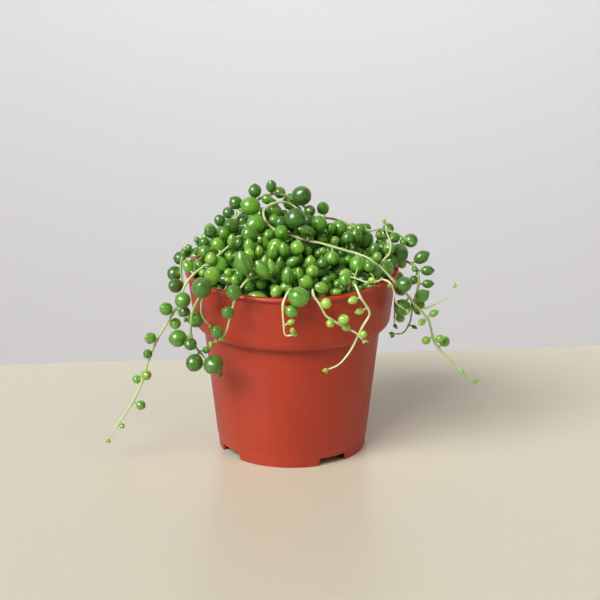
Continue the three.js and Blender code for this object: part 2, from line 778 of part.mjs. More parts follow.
function stemGeometry(corners, radius) {
  const section = new THREE.Shape();
  section.moveTo(radius, 0);
  for (let i = 1; i < stem.sides; i++) {
    const a = (i * 2 * Math.PI) / stem.sides;
    section.lineTo(radius * Math.cos(a), radius * Math.sin(a));
  }
  const steps = corners.length - 1;
  return new THREE.ExtrudeGeometry(section, {
    steps,
    extrudePath: new FacetedPath(corners),
    bevelEnabled: false,
  });
}

// A pearl with its stalk: the foot lies in the stem, and the far end has a small point.
function pearlGeometry({ centre, lean, size, reach, slim }, grown) {
  const r = size / 2;
  const plain = grown || size < 6;
  const belly = plain ? [[r * slim, -0.3 * r]] : [[0.42 * r, -0.86 * r], [r * slim, -0.08 * r]];
  const profile = [[0, -reach], ...belly, [0.74 * r * slim, 0.62 * r], [0, 1.12 * r]];
  const sides = plain ? pearl.plainSides : pearl.sides;
  const g = new THREE.LatheGeometry(profile.map((p) => new THREE.Vector2(...p)), sides);
  const turn = new THREE.Quaternion().setFromUnitVectors(
    new THREE.Vector3(0, 1, 0),
    new THREE.Vector3(...lean),
  );
  return g.applyQuaternion(turn).translate(...centre);
}

function strandSolid(strand) {
  const parts = [solidOf(stemGeometry(strand.corners, strand.radius))];
  for (const { corners } of strand.shoots) parts.push(solidOf(stemGeometry(corners, strand.radius)));
  for (const p of strand.pearls) parts.push(solidOf(pearlGeometry(p, Boolean(strand.grow))));
  return wasm.Manifold.union(parts).simplify(stem.smallest);
}

// ---------------------------------------------------------------- the object

const potted = new THREE.Group();
potted.name = "potted_string_of_pearls";
function addMesh(name, solid, colour, roughness) {
  const material = new THREE.MeshStandardMaterial({ color: colour, roughness, metalness: 0 });
  const mesh = new THREE.Mesh(geometryOf(solid), material);
  mesh.name = name;
  potted.add(mesh);
}

addMesh("pot", potSolid(), colours.pot, 0.45);
addMesh("soil", soilSolid(), colours.soil, 0.95);
for (const s of strands)
  addMesh(s.name, strandSolid(s), s.coiled ? colours.leaf : colours.young, 0.35);

export default potted;
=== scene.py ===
# A potted string of pearls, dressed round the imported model.
# Sizes in the dictionaries are millimetres and become metres as each mesh is made.

import math
import random

import bmesh
import bpy
import numpy as np
from mathutils import Matrix, Vector, noise


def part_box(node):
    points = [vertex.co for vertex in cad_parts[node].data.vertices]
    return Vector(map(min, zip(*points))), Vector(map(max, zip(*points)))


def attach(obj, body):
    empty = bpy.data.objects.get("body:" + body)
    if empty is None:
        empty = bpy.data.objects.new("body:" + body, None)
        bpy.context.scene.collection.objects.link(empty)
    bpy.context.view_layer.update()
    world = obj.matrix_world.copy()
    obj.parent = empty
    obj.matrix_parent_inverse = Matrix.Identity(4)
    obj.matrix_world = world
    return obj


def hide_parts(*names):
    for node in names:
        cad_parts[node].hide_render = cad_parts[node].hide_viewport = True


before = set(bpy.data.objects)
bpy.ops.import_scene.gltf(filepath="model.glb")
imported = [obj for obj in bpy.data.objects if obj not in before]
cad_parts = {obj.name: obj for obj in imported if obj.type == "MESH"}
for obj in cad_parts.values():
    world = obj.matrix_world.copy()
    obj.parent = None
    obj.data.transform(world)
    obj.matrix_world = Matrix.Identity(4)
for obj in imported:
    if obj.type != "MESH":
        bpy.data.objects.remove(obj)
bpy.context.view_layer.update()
mm = 0.001
print("frame loaded:", len(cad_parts), "nodes")


def hexColour(code):
    # sRGB hex to the linear values that shaders take
    channels = [int(code[i : i + 2], 16) / 255 for i in (1, 3, 5)]
    linear = [c / 12.92 if c <= 0.04045 else ((c + 0.055) / 1.055) ** 2.4 for c in channels]
    return (*linear, 1.0)


def addNode(tree, kind, settings=None, links=None):
    # settings name the node's own properties or its sockets, links name or number its sockets;
    # a node that is given as a source stands for its first output
    node = tree.nodes.new(kind)
    node.location = (190 * (len(tree.nodes) % 10), -240 * (len(tree.nodes) // 10))
    for name, value in (settings or {}).items():
        if isinstance(name, str) and name in node.bl_rna.properties:
            setattr(node, name, value)
        else:
            node.inputs[name].default_value = value
    for name, source in (links or {}).items():
        tree.links.new(source.outputs[0] if hasattr(source, "outputs") else source, node.inputs[name])
    return node


def meshObject(name, points, edges, faces, materials=()):
    mesh = bpy.data.meshes.new(name)
    mesh.from_pydata([tuple(c * mm for c in p) for p in points], edges, faces)
    mesh.validate()
    for material in materials:
        mesh.materials.append(material)
    obj = bpy.data.objects.new(name, mesh)
    bpy.context.scene.collection.objects.link(obj)
    return obj


def bakeModifiers(obj):
    # the evaluated result becomes the object's own plain mesh
    depsgraph = bpy.context.evaluated_depsgraph_get()
    result = bpy.data.meshes.new_from_object(
        obj.evaluated_get(depsgraph), preserve_all_data_layers=True, depsgraph=depsgraph
    )
    obj.modifiers.clear()
    obj.data = result
    return obj


def newTree(name, inputs):
    # a Geometry Nodes tree with these named inputs beside its geometry
    tree = bpy.data.node_groups.new(name, "GeometryNodeTree")
    for label, kind in [("Geometry", "Geometry"), *inputs]:
        tree.interface.new_socket(label, in_out="INPUT", socket_type=f"NodeSocket{kind}")
    tree.interface.new_socket("Geometry", in_out="OUTPUT", socket_type="NodeSocketGeometry")
    return tree, addNode(tree, "NodeGroupInput").outputs


def setInputs(modifier, values):
    # a modifier's inputs are set by their socket's identifier
    sockets = {s.name: s.identifier for s in modifier.node_group.interface.items_tree if s.in_out == "INPUT"}
    for name, value in values.items():
        modifier[sockets[name]] = value


# The camera: a long lens that looks 17.9 degrees down, found from the pot's rim and foot ellipses.
camera = {
    "place": (4, -976, 390),
    "pitch": 17.9,
    "focalPixels": 2068,
    "imagePixels": 600,
    "sensor": 36,
    "clip": (0.05, 20),  # metres
}


def placeCamera():
    lens = bpy.data.cameras.new("camera")
    lens.sensor_width = camera["sensor"]
    lens.lens = camera["focalPixels"] / camera["imagePixels"] * camera["sensor"]
    lens.clip_start, lens.clip_end = camera["clip"]
    eye = bpy.data.objects.new("camera", lens)
    eye.location = [c * mm for c in camera["place"]]
    eye.rotation_euler = (math.radians(90 - camera["pitch"]), 0, 0)
    bpy.context.scene.collection.objects.link(eye)
    bpy.context.scene.camera = eye


placeCamera()

# How the plant grew: the same rule and the same draws as the solids in the frame.

pot = {
    "height": 92,
    "rimRadius": 52.8,
    "beadHeight": 2.4,
    "beadOut": 1.4,
    "collarFoot": (48.9, 67.9),
    "ledge": 0.6,
    "bodyTop": (43.9, 63.3),
    "bodyFoot": (37.6, 7.0),
    "footRadius": 36.7,
    "footStep": 0.3,
    "wall": 1.3,
    "lipRadius": 1.7,
    "floorUnder": 4.6,
    "notches": 4,
    "notchFirst": -56.5,
    "notchAngle": 23.5,
    "notchHeight": 4.0,
    "notchSlope": 0.7,
    "drainHoles": 8,
    "drainRadius": 3.2,
    "drainRing": 27.5,
}
soil = {"edgeTop": 80, "crown": 3.5, "bump": 0.7, "crownRadius": 48}
stem = {
    "radius": 0.85,
    "coilRadius": 0.75,
    "rootDepth": 4.5,  # down in the mix
    "riser": 3,  # straight up out of it
    "berth": 1.9,  # room that a coiled stem leaves beside what was laid before it
    "berthRounds": 4,
    "step": 6,  # between corners
    "coilStep": 8,
    "smoothing": 12,  # points from one place on the route to the next
    "stalkFoot": 0.7,  # a stalk starts this share of the radius out from the stem's middle
}
pearl = {
    "gap": 0.4,  # room between pearls of two stems
    "ownGap": 0.15,
    "stalk": 0.8,
    "stalkShare": 0.1,  # and this much more for each millimetre of pearl
    "stalkSpare": 0.3,  # and for each millimetre by which it comes out smaller
    "least": 2.6,
    "slim": 0.8,  # a lemon-shaped pearl's width against its length
    "slimShare": 0.35,
    "sideways": 0.9,  # how much of a lean along the stem is taken out
    "skyHeight": 20,  # a hanging stem's pearls look away from the pot's axis, and up by this
    "shares": (1, 0.9, 0.8, 0.7, 0.6, 0.5),  # sizes that are tried
    # the spheres that fill it: share of the reach, of the radius beyond that, and size
    "bulk": ((1, 0, 1.04), (1, 0.85, 0.27), (0.5, 0, 0.6), (0.3, 0, 0.36)),
}
coilGrowth = {"up": 0.1, "sizes": (6.8, 10.4), "stalks": (0.3, 2.4), "tries": 30, "outward": False}
trailGrowth = {
    "spacing": 6.6,
    "up": -0.3,
    "sizes": (4.6, 8.6),
    "stalks": (0.6, 1.6),
    "tries": 16,
    "outward": True,
}
coilWave = {"bend": 9, "bends": 4, "side": 1.2, "rise": 1.3, "sideTurn": 0.09, "riseTurn": 0.07}
trail = {
    "root": 39.5,
    "rootTurn": -4,
    # over the rim: how far out from its edge, how far up, and how much of the drift
    "over": ((-10, 4, 0), (-1, 6, 0.2), (2.5, 0.6, 0.5)),
    "out": 2.5,
    "tuck": 0.1,
    "fall": 11,
    "drift": (-6, 5),  # degrees, on every other stem
}

# Stems laid one by one. root: where the stem leaves the mix. route: the points that it passes through.
# pearls: mm along the route, diameter, and which way each leans: right, back, up.
# slim: places in that list that are lemon-shaped. shoots: where each leaves the stem, and its route.
handLaid = [
    {
        "name": "left_trail",
        "root": (-20, -5),
        "route": [
            (-24, -4, 110), (-31, -9, 105), (-40, -16, 99), (-46, -21, 96), (-51, -24, 91),
            (-55, -27, 81), (-61, -28, 71), (-65, -28, 64), (-70, -28, 52), (-73, -28, 42),
            (-77, -28, 33), (-83, -28, 23), (-88, -28, 16), (-90, -28, 11),
        ],
        "pearls": [
            (8, 5.5, 1, -4, 2), (15, 7.2, -1, 4, 3), (19, 7.7, 2, -3, -1), (19, 6.2, -2, 4, -1),
            (33, 6.9, -3, 4, 4), (47, 7.9, 1, -3, 1), (52, 5.4, 4, 0, -1), (54, 6.7, -1, -1, 1),
            (58, 5.7, 1, 1, -1), (70, 5.7, -4, -4, 3), (79, 4.7, -1, -4, 3), (89, 5.2, 1, -3, 1),
            (91, 4.5, -3, 2, -1), (104, 4.7, 2, 0, -1), (118, 3.4, 3, -4, 0),
        ],
        "slim": [0, 4, 14],
    },
    {
        "name": "left_cluster",
        "root": (-25, -28),
        "route": [
            (-33, -35, 96), (-38, -40, 96), (-43, -43, 91), (-47, -42, 83), (-48, -41, 76),
            (-48, -39, 69), (-45, -39, 62), (-40, -40, 57), (-34, -41, 50),
        ],
        "pearls": [
            (3, 8, -2, -3, 3), (14, 10.3, 0, -4, 3), (25, 8, 1, 3, -4), (38, 8.6, -4, 0, -1),
            (41, 6.1, -1, -4, 0), (47, 3.6, 4, -1, 1), (47, 8.6, -1, -2, -2), (55, 9.6, 1, -4, 1),
        ],
        "shoots": [
            {"at": 12, "route": [(-43, -47, 86), (-42, -47, 81), (-38, -46, 76)], "pearls": []},
        ],
    },
    {
        "name": "front_left_loop",
        "root": (-9, -28),
        "route": [
            (-7, -36, 95), (-12, -37, 98), (-18, -40, 99), (-22, -45, 98), (-25, -50, 95),
            (-27, -51, 91), (-28, -51, 86), (-30, -51, 79), (-31, -50, 75), (-34, -49, 71),
            (-39, -46, 68),
        ],
        "pearls": [
            (0, 4.9, 0, -3, -1), (4, 6.1, 2, -1, 3), (26, 7.4, -1, -4, 2), (38, 6, -1, -4, 4),
            (49, 6.1, -2, -3, 3), (53, 2.8, 0, -3, 1), (53, 2.6, 4, 0, 1),
        ],
        "slim": [0, 6],
    },
    {
        "name": "front_short",
        "root": (2, -38),
        "route": [
            (0, -46, 95), (-2, -53, 95), (-4, -57, 91), (-4, -57, 86), (-3, -55, 76), (-2, -55, 73),
            (1, -56, 76),
        ],
        "pearls": [(7, 10.3, 1, -1, 0), (14, 6, 4, 1, -3), (24, 3.8, 2, 0, 1), (33, 3.6, 0, -3, 4)],
        "slim": [2, 3],
    },
    {
        "name": "front_mid",
        "root": (12, -36),
        "route": [
            (10, -47, 95), (11, -54, 93), (15, -55, 88), (17, -54, 83), (21, -53, 81), (25, -52, 78),
            (29, -52, 76), (32, -52, 74), (35, -52, 70),
        ],
        "pearls": [
            (12, 5.3, 3, -4, 3), (20, 4.3, 0, -3, -1), (24, 5.3, 4, -3, 3), (33, 4.3, -4, -1, 3),
            (38, 3.9, 1, -2, 2),
        ],
    },
    {
        "name": "front_right_bare",
        "root": (27, -28),
        "route": [
            (29, -40, 96), (31, -45, 95), (33, -46, 90), (36, -44, 85), (37, -43, 81), (35, -44, 78),
            (32, -46, 73), (30, -46, 68), (27, -47, 63), (22, -49, 58), (16, -51, 56),
        ],
        "pearls": [(9, 5.1, -4, -3, -1), (17, 4.3, -3, 0, -1)],
        "slim": [0, 1],
    },
    {
        "name": "long_diagonal",
        "root": (11, 4),
        "route": [
            (9, 3, 106), (6, 7, 116), (1, 10, 120), (-3, 8, 123), (-8, 5, 123), (-13, 2, 122),
            (-14, -1, 119), (-13, -3, 117), (-11, -5, 114), (-8, -7, 113), (-1, -9, 111),
            (7, -12, 109), (15, -14, 108), (23, -16, 106), (32, -18, 104), (36, -20, 103),
            (41, -22, 100), (44, -24, 98), (47, -26, 95), (50, -26, 92), (54, -23, 88), (58, -20, 81),
            (64, -18, 74), (66, -18, 72), (68, -17, 66), (69, -17, 61), (72, -16, 55), (77, -16, 50),
            (81, -15, 45), (86, -15, 41), (91, -15, 37),
        ],
        "pearls": [
            (30, 7.8, 0, 2, -3), (36, 9.7, -4, 0, 1), (43, 9.2, -1, -1, 0), (49, 5.5, -3, -4, -2),
            (53, 7.2, 0, -4, 1), (61, 7.4, 0, -1, -1), (80, 7.2, -1, -1, -3), (92, 8.6, 0, -3, -2),
            (101, 4.9, 2, -3, 4), (106, 6.7, -3, -4, 0), (120, 7.9, 1, -4, 2), (128, 8.4, -1, 0, -2),
            (132, 6.8, 3, 0, 2), (134, 7.4, 1, 3, -1), (143, 4.7, 2, 0, 1), (144, 4.2, -3, -3, -1),
            (154, 4.3, -2, -1, -1), (156, 4.5, 2, -2, 1), (161, 5.3, 4, 3, 3), (177, 3.4, 1, -4, 0),
        ],
        "slim": [14, 15, 19],
        "shoots": [
            {
                "at": 94,
                "route": [(31, -25, 101), (32, -29, 99), (30, -32, 97)],
                "pearls": [(14, 5.6, -1, 0, 0)],
            },
            {"at": 138, "route": [(70, -18, 78), (74, -17, 81), (78, -16, 84), (79, -16, 87)], "pearls": []},
        ],
    },
    {
        "name": "upright_tip",
        "root": (38, -8),
        "route": [
            (45, -8, 98), (47, -10, 101), (49, -10, 105), (47, -9, 109), (46, -8, 113), (45, -8, 118),
        ],
        "pearls": [(2, 6.2, 1, 2, 2)],
    },
    {
        "name": "right_runner",
        "root": (37, -14),
        "route": [
            (42, -22, 93.5), (43, -30, 95), (41, -35, 95.5), (35, -38, 96), (30, -38, 98),
            (24, -36, 99),
        ],
        "pearls": [(20, 3.8, 4, -4, 3)],
        "slim": [0],
        "shoots": [
            {
                "at": 8,
                "route": [(47, -33, 94), (49, -35, 90), (50, -35, 85), (53, -31, 81), (56, -28, 78)],
                "pearls": [(7, 2.8, -1, -3, 1)],
            },
        ],
    },
    {
        "name": "crest",
        "root": (16.5, 13.8),
        "route": [
            (11, 13, 112), (6, 14, 119), (1, 14, 122), (-6, 12, 126), (-14, 10, 125), (-21, 8, 121),
            (-27, 6, 116), (-33, 4, 111), (-39, 1, 106), (-44, -1, 103), (-49, -3, 101),
            (-52, -4, 103),
        ],
        "pearls": [
            (6, 5.8, 1, -4, 1), (12, 10.3, 1, -3, 3), (16, 8.9, 0, 2, -1), (21, 6, -1, 3, 0),
            (27, 6.9, 0, -1, 2), (33, 5.3, 4, -4, 1), (36, 6.9, 0, 0, 1), (43, 6.8, -1, 0, 1),
            (49, 6, -3, 3, 2), (56, 5.8, -2, -1, 4), (62, 6.3, -2, -3, 3), (67, 5, -4, 3, -1),
            (71, 3.8, -1, 0, 2), (77, 3.8, 4, -2, -1), (78, 3.4, 1, -4, 2),
        ],
        "slim": [4, 12],
    },
    {
        "name": "right_drape",
        "root": (36, 6),
        "route": [
            (47, 8, 93.5), (53, 6, 94), (58, 2, 93.5), (62, -5, 91), (62, -8, 84), (60, -9, 78),
            (59, -9, 71), (58, -10, 66), (56, -11, 62), (52, -12, 61), (49, -14, 62),
        ],
        "pearls": [
            (4, 10.4, 1, -4, 3), (14, 8, 3, 0, 2), (17, 3.9, 0, -1, 0), (20, 6.3, 1, 0, 0),
            (21, 4.5, -1, -1, -2), (27, 5.5, 1, 0, 0), (40, 3, 4, -3, -2), (48, 2.7, 2, 0, -1),
        ],
        "slim": [1, 2, 3, 5],
    },
    {
        "name": "back_right_arc",
        "root": (8, 20),
        "route": [
            (7, 21, 102), (7, 19, 107), (10, 18, 110), (14, 17, 112), (19, 17, 112), (24, 16, 111),
            (29, 15, 109), (35, 14, 107), (41, 13, 107), (46, 12, 108), (51, 11, 106), (56, 9, 104),
            (60, 7, 101),
        ],
        "pearls": [
            (8, 10.8, -4, -2, 1), (7, 6.8, 4, 0, 1), (17, 6.6, -1, 3, 4), (28, 8.4, -3, -3, -1),
            (37, 9.8, 0, -2, -1), (37, 6.4, 1, 4, -1), (51, 5.8, -1, 4, 0), (56, 5.3, -3, -4, 0),
            (57, 3.6, 1, -4, -3), (63, 7.1, 0, 1, 0),
        ],
    },
    {
        "name": "left_arc",
        "root": (-18, -24.5),
        "route": [
            (-22, -30, 100), (-25, -34, 102), (-28, -38, 101),
        ],
        "pearls": [(2, 8.1, 1, -4, 4), (9, 5.3, 1, 0, -4), (9, 4.3, -1, -1, 0)],
        "slim": [0],
    },
    {
        "name": "left_shoulder",
        "root": (-28, 8),
        "route": [
            (-21, 5, 110), (-26, 3, 112), (-30, 1, 110), (-35, -1, 105), (-41, -4, 101), (-46, -9, 98),
        ],
        "pearls": [
            (2, 6.3, -1, 4, 2), (7, 7.8, -1, -2, 1), (10, 5.7, -4, -2, -3), (22, 6.3, -1, 0, -1),
        ],
    },
]

# Coiled stems: name, middle of the ring, radius, height, first direction, sweep, pearl spacing, root.
coils = [
    ("heap_coil_1", (-9, 9), 8, 112, 205, 300, 4.8, (-10.5, 6.8)),
    ("heap_coil_2", (-9, 9), 17, 106.5, 262, 330, 4.6, (-11.5, -5)),
    ("heap_coil_3", (-9, 9), 27, 101, 330, 330, 5.6, (12.4, -2.5)),
    ("mat_coil_1", (0, 0), 8, 98, 100, 290, 6, None),
    ("mat_coil_2", (0, 0), 17, 96, 167, 320, 5.8, None),
    ("mat_coil_3a", (0, 0), 26, 94, 234, 165, 4.8, None),
    ("mat_coil_3b", (0, 0), 26, 94, 54, 165, 6.5, None),
    ("mat_coil_4a", (0, 0), 35, 91.5, 301, 168, 5.8, None),
    ("mat_coil_4b", (0, 0), 35, 91.5, 121, 168, 4.8, None),
    ("mat_coil_5a", (0, 0), 44, 88, 8, 112, 6, None),
    ("mat_coil_5b", (0, 0), 44, 88, 128, 112, 5.4, None),
    ("mat_coil_5c", (0, 0), 44, 88, 248, 112, 4.6, None),
]
# Stems over the back of the rim: direction in degrees from +X, drop below the rim.
backTrails = [(24, 34), (58, 22), (86, 52), (118, 30), (147, 64), (172, 26)]

growthSeed = 20231


def draw():
    global growthSeed
    growthSeed = growthSeed * 16807 % 2147483647
    return growthSeed / 2147483647


def drawBetween(low, high):
    return low + (high - low) * draw()


def add(a, b, k=1):
    return [a[0] + b[0] * k, a[1] + b[1] * k, a[2] + b[2] * k]


def dot(a, b):
    return a[0] * b[0] + a[1] * b[1] + a[2] * b[2]


def distance(a, b):
    d = add(a, b, -1)
    return math.sqrt(dot(d, d))


def unit(a):
    size = math.sqrt(dot(a, a))
    return [a[0] / size, a[1] / size, a[2] / size]


def onRing(radius, degrees, z):
    a = degrees * math.pi / 180
    return [radius * math.cos(a), radius * math.sin(a), z]


def nearestWhole(value):
    return math.floor(value + 0.5)


def outerRadius(z):
    heights = (0, pot["bodyTop"][1], pot["collarFoot"][1], pot["height"])
    radii = (pot["footRadius"], pot["bodyTop"][0], pot["collarFoot"][0], pot["rimRadius"] - pot["beadOut"])
    return np.interp(z, heights, radii)


def soilTop(x, y):
    r2 = (x * x + y * y) / (soil["crownRadius"] * soil["crownRadius"])
    bumps = np.sin(x * 0.31 + 1) * np.cos(y * 0.27) + 0.6 * np.sin(x * 0.13 - y * 0.44)
    return soil["edgeTop"] + soil["crown"] * (1 - r2) + soil["bump"] * bumps


# everything that takes up room, as spheres
mostSpheres = 40000
taken = {
    "at": np.zeros((mostSpheres, 3)),
    "radius": np.zeros(mostSpheres),
    "owner": np.zeros(mostSpheres, int),
    "stem": np.zeros(mostSpheres, bool),
    "count": 0,
}


def occupy(points, radii, owner, isStem):
    first = taken["count"]
    last = first + len(points)
    taken["at"][first:last] = points
    taken["radius"][first:last] = radii
    taken["owner"][first:last] = owner
    taken["stem"][first:last] = isStem
    taken["count"] = last


def potRoom(p):
    # distance to the pot's wall or lip, or to the mix inside it
    r = np.hypot(p[..., 0], p[..., 1])
    z = p[..., 2]
    outOfLip = r - (pot["rimRadius"] - pot["beadHeight"] / 2)
    overLip = z - (pot["height"] - pot["beadHeight"] / 2)
    toLip = np.hypot(outOfLip, overLip) - pot["lipRadius"]
    outer = outerRadius(z)
    outside = np.minimum(r - outer, z)
    inside = np.minimum(outer - pot["wall"] - r, z - soilTop(p[..., 0], p[..., 1]))
    below = np.minimum(toLip, np.where(r > outer - pot["wall"] / 2, outside, inside))
    return np.where(z >= pot["height"], toLip, below)


def neighboursOf(point, reach, owner):
    n = taken["count"]
    at = taken["at"][:n]
    close = np.abs(at - point).max(axis=1) < reach
    own = taken["owner"][:n] == owner
    keep = close & ~(own & taken["stem"][:n])
    gaps = np.where(own[keep], pearl["ownGap"], pearl["gap"])
    return at[keep], taken["radius"][:n][keep] + gaps


def spaced(points, spacing):
    out = [points[0]]
    left = spacing
    for i in range(1, len(points)):
        start = points[i - 1]
        gap = distance(points[i], start)
        while gap >= left:
            start = add(start, unit(add(points[i], start, -1)), left)
            out.append(start)
            gap -= left
            left = spacing
        left -= gap
    return out


def smoothLine(points, perSpan, spacing):
    # centripetal Catmull-Rom through the points, then even spacing
    first = add(add(points[0], points[1], -1), points[0])
    final = add(add(points[-1], points[-2], -1), points[-1])
    knots = [first, *points, final]
    spans = len(points) - 1
    dense = []
    for i in range(spans * perSpan + 1):
        t = spans * (i / (spans * perSpan))
        k = min(math.floor(t), spans - 1)
        w = t - k
        p0, p1, p2, p3 = knots[k : k + 4]
        d0, d1, d2 = (dot(add(a, b, -1), add(a, b, -1)) ** 0.25 for a, b in ((p0, p1), (p1, p2), (p2, p3)))
        point = []
        for a, b, c, d in zip(p0, p1, p2, p3):
            m1 = ((b - a) / d0 - (c - a) / (d0 + d1) + (c - b) / d1) * d1
            m2 = ((c - b) / d1 - (d - b) / (d1 + d2) + (d - c) / d2) * d1
            square = -3 * b + 3 * c - 2 * m1 - m2
            cube = 2 * b - 2 * c + m1 + m2
            point.append(b + m1 * w + square * w * w + cube * w * w * w)
        dense.append(point)
    return spaced(dense, spacing)


def faceted(smooth, step):
    count = max(2, nearestWhole((len(smooth) - 1) / step))
    corners = [smooth[nearestWhole((len(smooth) - 1) * i / count)] for i in range(count + 1)]
    return corners, spaced(corners, 1)


def nearest(line, point):
    return min(range(len(line)), key=lambda i: distance(line[i], point))


def giveWay(smooth, radius):
    # a coiled stem gives way to what was laid before it
    n = taken["count"]
    at = taken["at"][:n]
    apart = radius + taken["radius"][:n] + stem["berth"]
    points = [list(p) for p in smooth]
    for _ in range(stem["berthRounds"]):
        for i, p in enumerate(points):
            if i < stem["rootDepth"] + stem["riser"]:
                continue
            start = 0
            while start < n:
                away = np.asarray(p) - at[start:]
                d = np.sqrt(away[:, 0] * away[:, 0] + away[:, 1] * away[:, 1] + away[:, 2] * away[:, 2])
                hits = np.nonzero((d < apart[start:]) & (d > 0))[0]
                if not len(hits):
                    break
                k = hits[0]
                p = add(p, away[k], (apart[start + k] - d[k]) / d[k])
                start += k + 1
            points[i] = p
    return points


strands = []


def addStrand(name, root, route, coiled=False, grow=None):
    radius = stem["coilRadius"] if coiled else stem["radius"]
    top = float(soilTop(root[0], root[1]))
    start = [[root[0], root[1], top - stem["rootDepth"]], [root[0], root[1], top + stem["riser"]]]
    smooth = smoothLine([*start, *[list(p) for p in route]], stem["smoothing"], 1)
    if coiled:
        smooth = giveWay(smooth, radius)
    corners, line = faceted(smooth, stem["coilStep"] if coiled else stem["step"])
    strand = {
        "name": name,
        "index": len(strands),
        "coiled": coiled,
        "radius": radius,
        "corners": corners,
        "line": line,
        "start": nearest(line, route[0]),
        "pearls": [],
        "shoots": [],
        "grow": grow,
    }
    strands.append(strand)
    occupy(line, radius, strand["index"], True)
    return strand


def layByHand(laid):
    strand = addStrand(laid["name"], laid["root"], laid["route"])
    for shoot in laid.get("shoots", ()):
        points = [strand["line"][strand["start"] + shoot["at"]], *[list(p) for p in shoot["route"]]]
        corners, line = faceted(smoothLine(points, stem["smoothing"], 1), stem["step"])
        strand["shoots"].append({"corners": corners, "line": line})
        occupy(line, strand["radius"], strand["index"], True)


def layCoil(name, middle, radius, height, first, sweep, spacing, root):
    ringLength = radius * sweep * math.pi / 180
    steps = max(coilWave["bends"], nearestWhole(ringLength / coilWave["bend"]))
    route = []
    for i in range(1, steps + 1):
        angle = first + sweep * i / steps
        aside = coilWave["side"] * math.sin(angle * coilWave["sideTurn"] + radius)
        up = coilWave["rise"] * math.sin(angle * coilWave["riseTurn"] + radius)
        p = onRing(radius + aside, angle, height + up)
        route.append([p[0] + middle[0], p[1] + middle[1], p[2]])
    rooted = root or onRing(radius, first, 0)[:2]
    addStrand(name, rooted, route, True, {**coilGrowth, "spacing": spacing})


def layBackTrail(index, degrees, drop):
    rim = pot["rimRadius"]
    drift = trail["drift"][index % 2]
    route = []
    for out, up, share in trail["over"]:
        route.append(onRing(rim + out, degrees + drift * share, pot["height"] + up))
    falls = math.ceil(drop / trail["fall"])
    for i in range(1, falls + 1):
        down = drop * i / falls
        out = rim + trail["out"] - trail["tuck"] * down
        route.append(onRing(out, degrees + drift * (i + 1) / 2, pot["height"] - down))
    root = onRing(trail["root"], degrees + trail["rootTurn"], 0)[:2]
    addStrand(f"back_trail_{index + 1}", root, route, grow=trailGrowth)


# What the other leaves may not cover: place and size in the picture, and distance from the camera.
seen = {"across": [], "up": [], "deep": [], "radius": []}
cover = {"seen": 0.8, "other": 0.6}  # the shares of the two radii that stay apart in the picture


def inPicture(points):
    # right, up and away from the camera; the first two are per millimetre of the third
    pitch = math.radians(camera["pitch"])
    x, y, z = (np.asarray(points) - camera["place"]).T
    deep = y * math.cos(pitch) - z * math.sin(pitch)
    return x / deep, (y * math.sin(pitch) + z * math.cos(pitch)) / deep, deep


def keepInSight(centre, radius):
    for key, value in zip(("across", "up", "deep"), inPicture([centre])):
        seen[key].append(float(value[0]))
    seen["radius"].append(radius)


def hidesSeen(centres, r):
    across, up, deep = (part[:, None] for part in inPicture(centres))
    apart = np.hypot(across - np.array(seen["across"]), up - np.array(seen["up"])) * deep
    nearer = deep < np.array(seen["deep"])
    overlaps = apart < cover["seen"] * np.array(seen["radius"]) + cover["other"] * r
    return (overlaps & nearer).any(axis=1)


def fitPearl(strand, start, leans, size, stalks, near):
    # the first lean that leaves the pearl clear of everything, or nothing
    r = size / 2
    leans = np.asarray(leans)
    reach = (strand["radius"] * stem["stalkFoot"] + np.asarray(stalks) + r)[:, None]
    fits = np.ones(len(leans), bool)
    spheres = []
    for share, beyond, wide in pearl["bulk"]:
        centre = np.asarray(start) + leans * (reach * share + r * beyond)
        room = potRoom(centre) - pearl["gap"]
        away = centre[:, None, :] - near[0][None, :, :]
        d = np.sqrt(away[..., 0] ** 2 + away[..., 1] ** 2 + away[..., 2] ** 2) - near[1][None, :]
        if d.shape[1]:
            room = np.minimum(room, d.min(axis=1))
        fits &= room >= wide * r
        if share == 1 and beyond == 0:
            fits &= ~hidesSeen(centre, r)
        spheres.append((centre, wide * r))
    if not fits.any():
        return None
    k = int(np.argmax(fits))
    return {
        "from": list(start),
        "lean": leans[k].tolist(),
        "size": size,
        "centre": spheres[0][0][k].tolist(),
        "spheres": [(c[k], radius) for c, radius in spheres],
    }


def keepPearl(strand, found, slim):
    found["slim"] = slim
    strand["pearls"].append(found)
    points, radii = zip(*found.pop("spheres"))
    occupy(points, radii, strand["index"], False)


crowding = 25  # pearls and stems further than this from a pearl's foot can't touch it


def placeListed(strand, line, start, pearls, slim):
    # a listed pearl keeps its place, and is smaller where its neighbours leave less room
    for i, (at, size, right, back, up) in enumerate(pearls):
        foot = line[min(start + at, len(line) - 1)]
        near = neighboursOf(foot, crowding, strand["index"])
        for share in pearl["shares"]:
            tried = size * share
            if tried < pearl["least"]:
                break
            stalk = pearl["stalk"] + pearl["stalkShare"] * size + (size - tried) * pearl["stalkSpare"]
            found = fitPearl(strand, foot, [unit([right, back, up])], tried, [stalk], near)
            if found:
                keepPearl(strand, found, pearl["slim"] if i in slim else 1)
                break


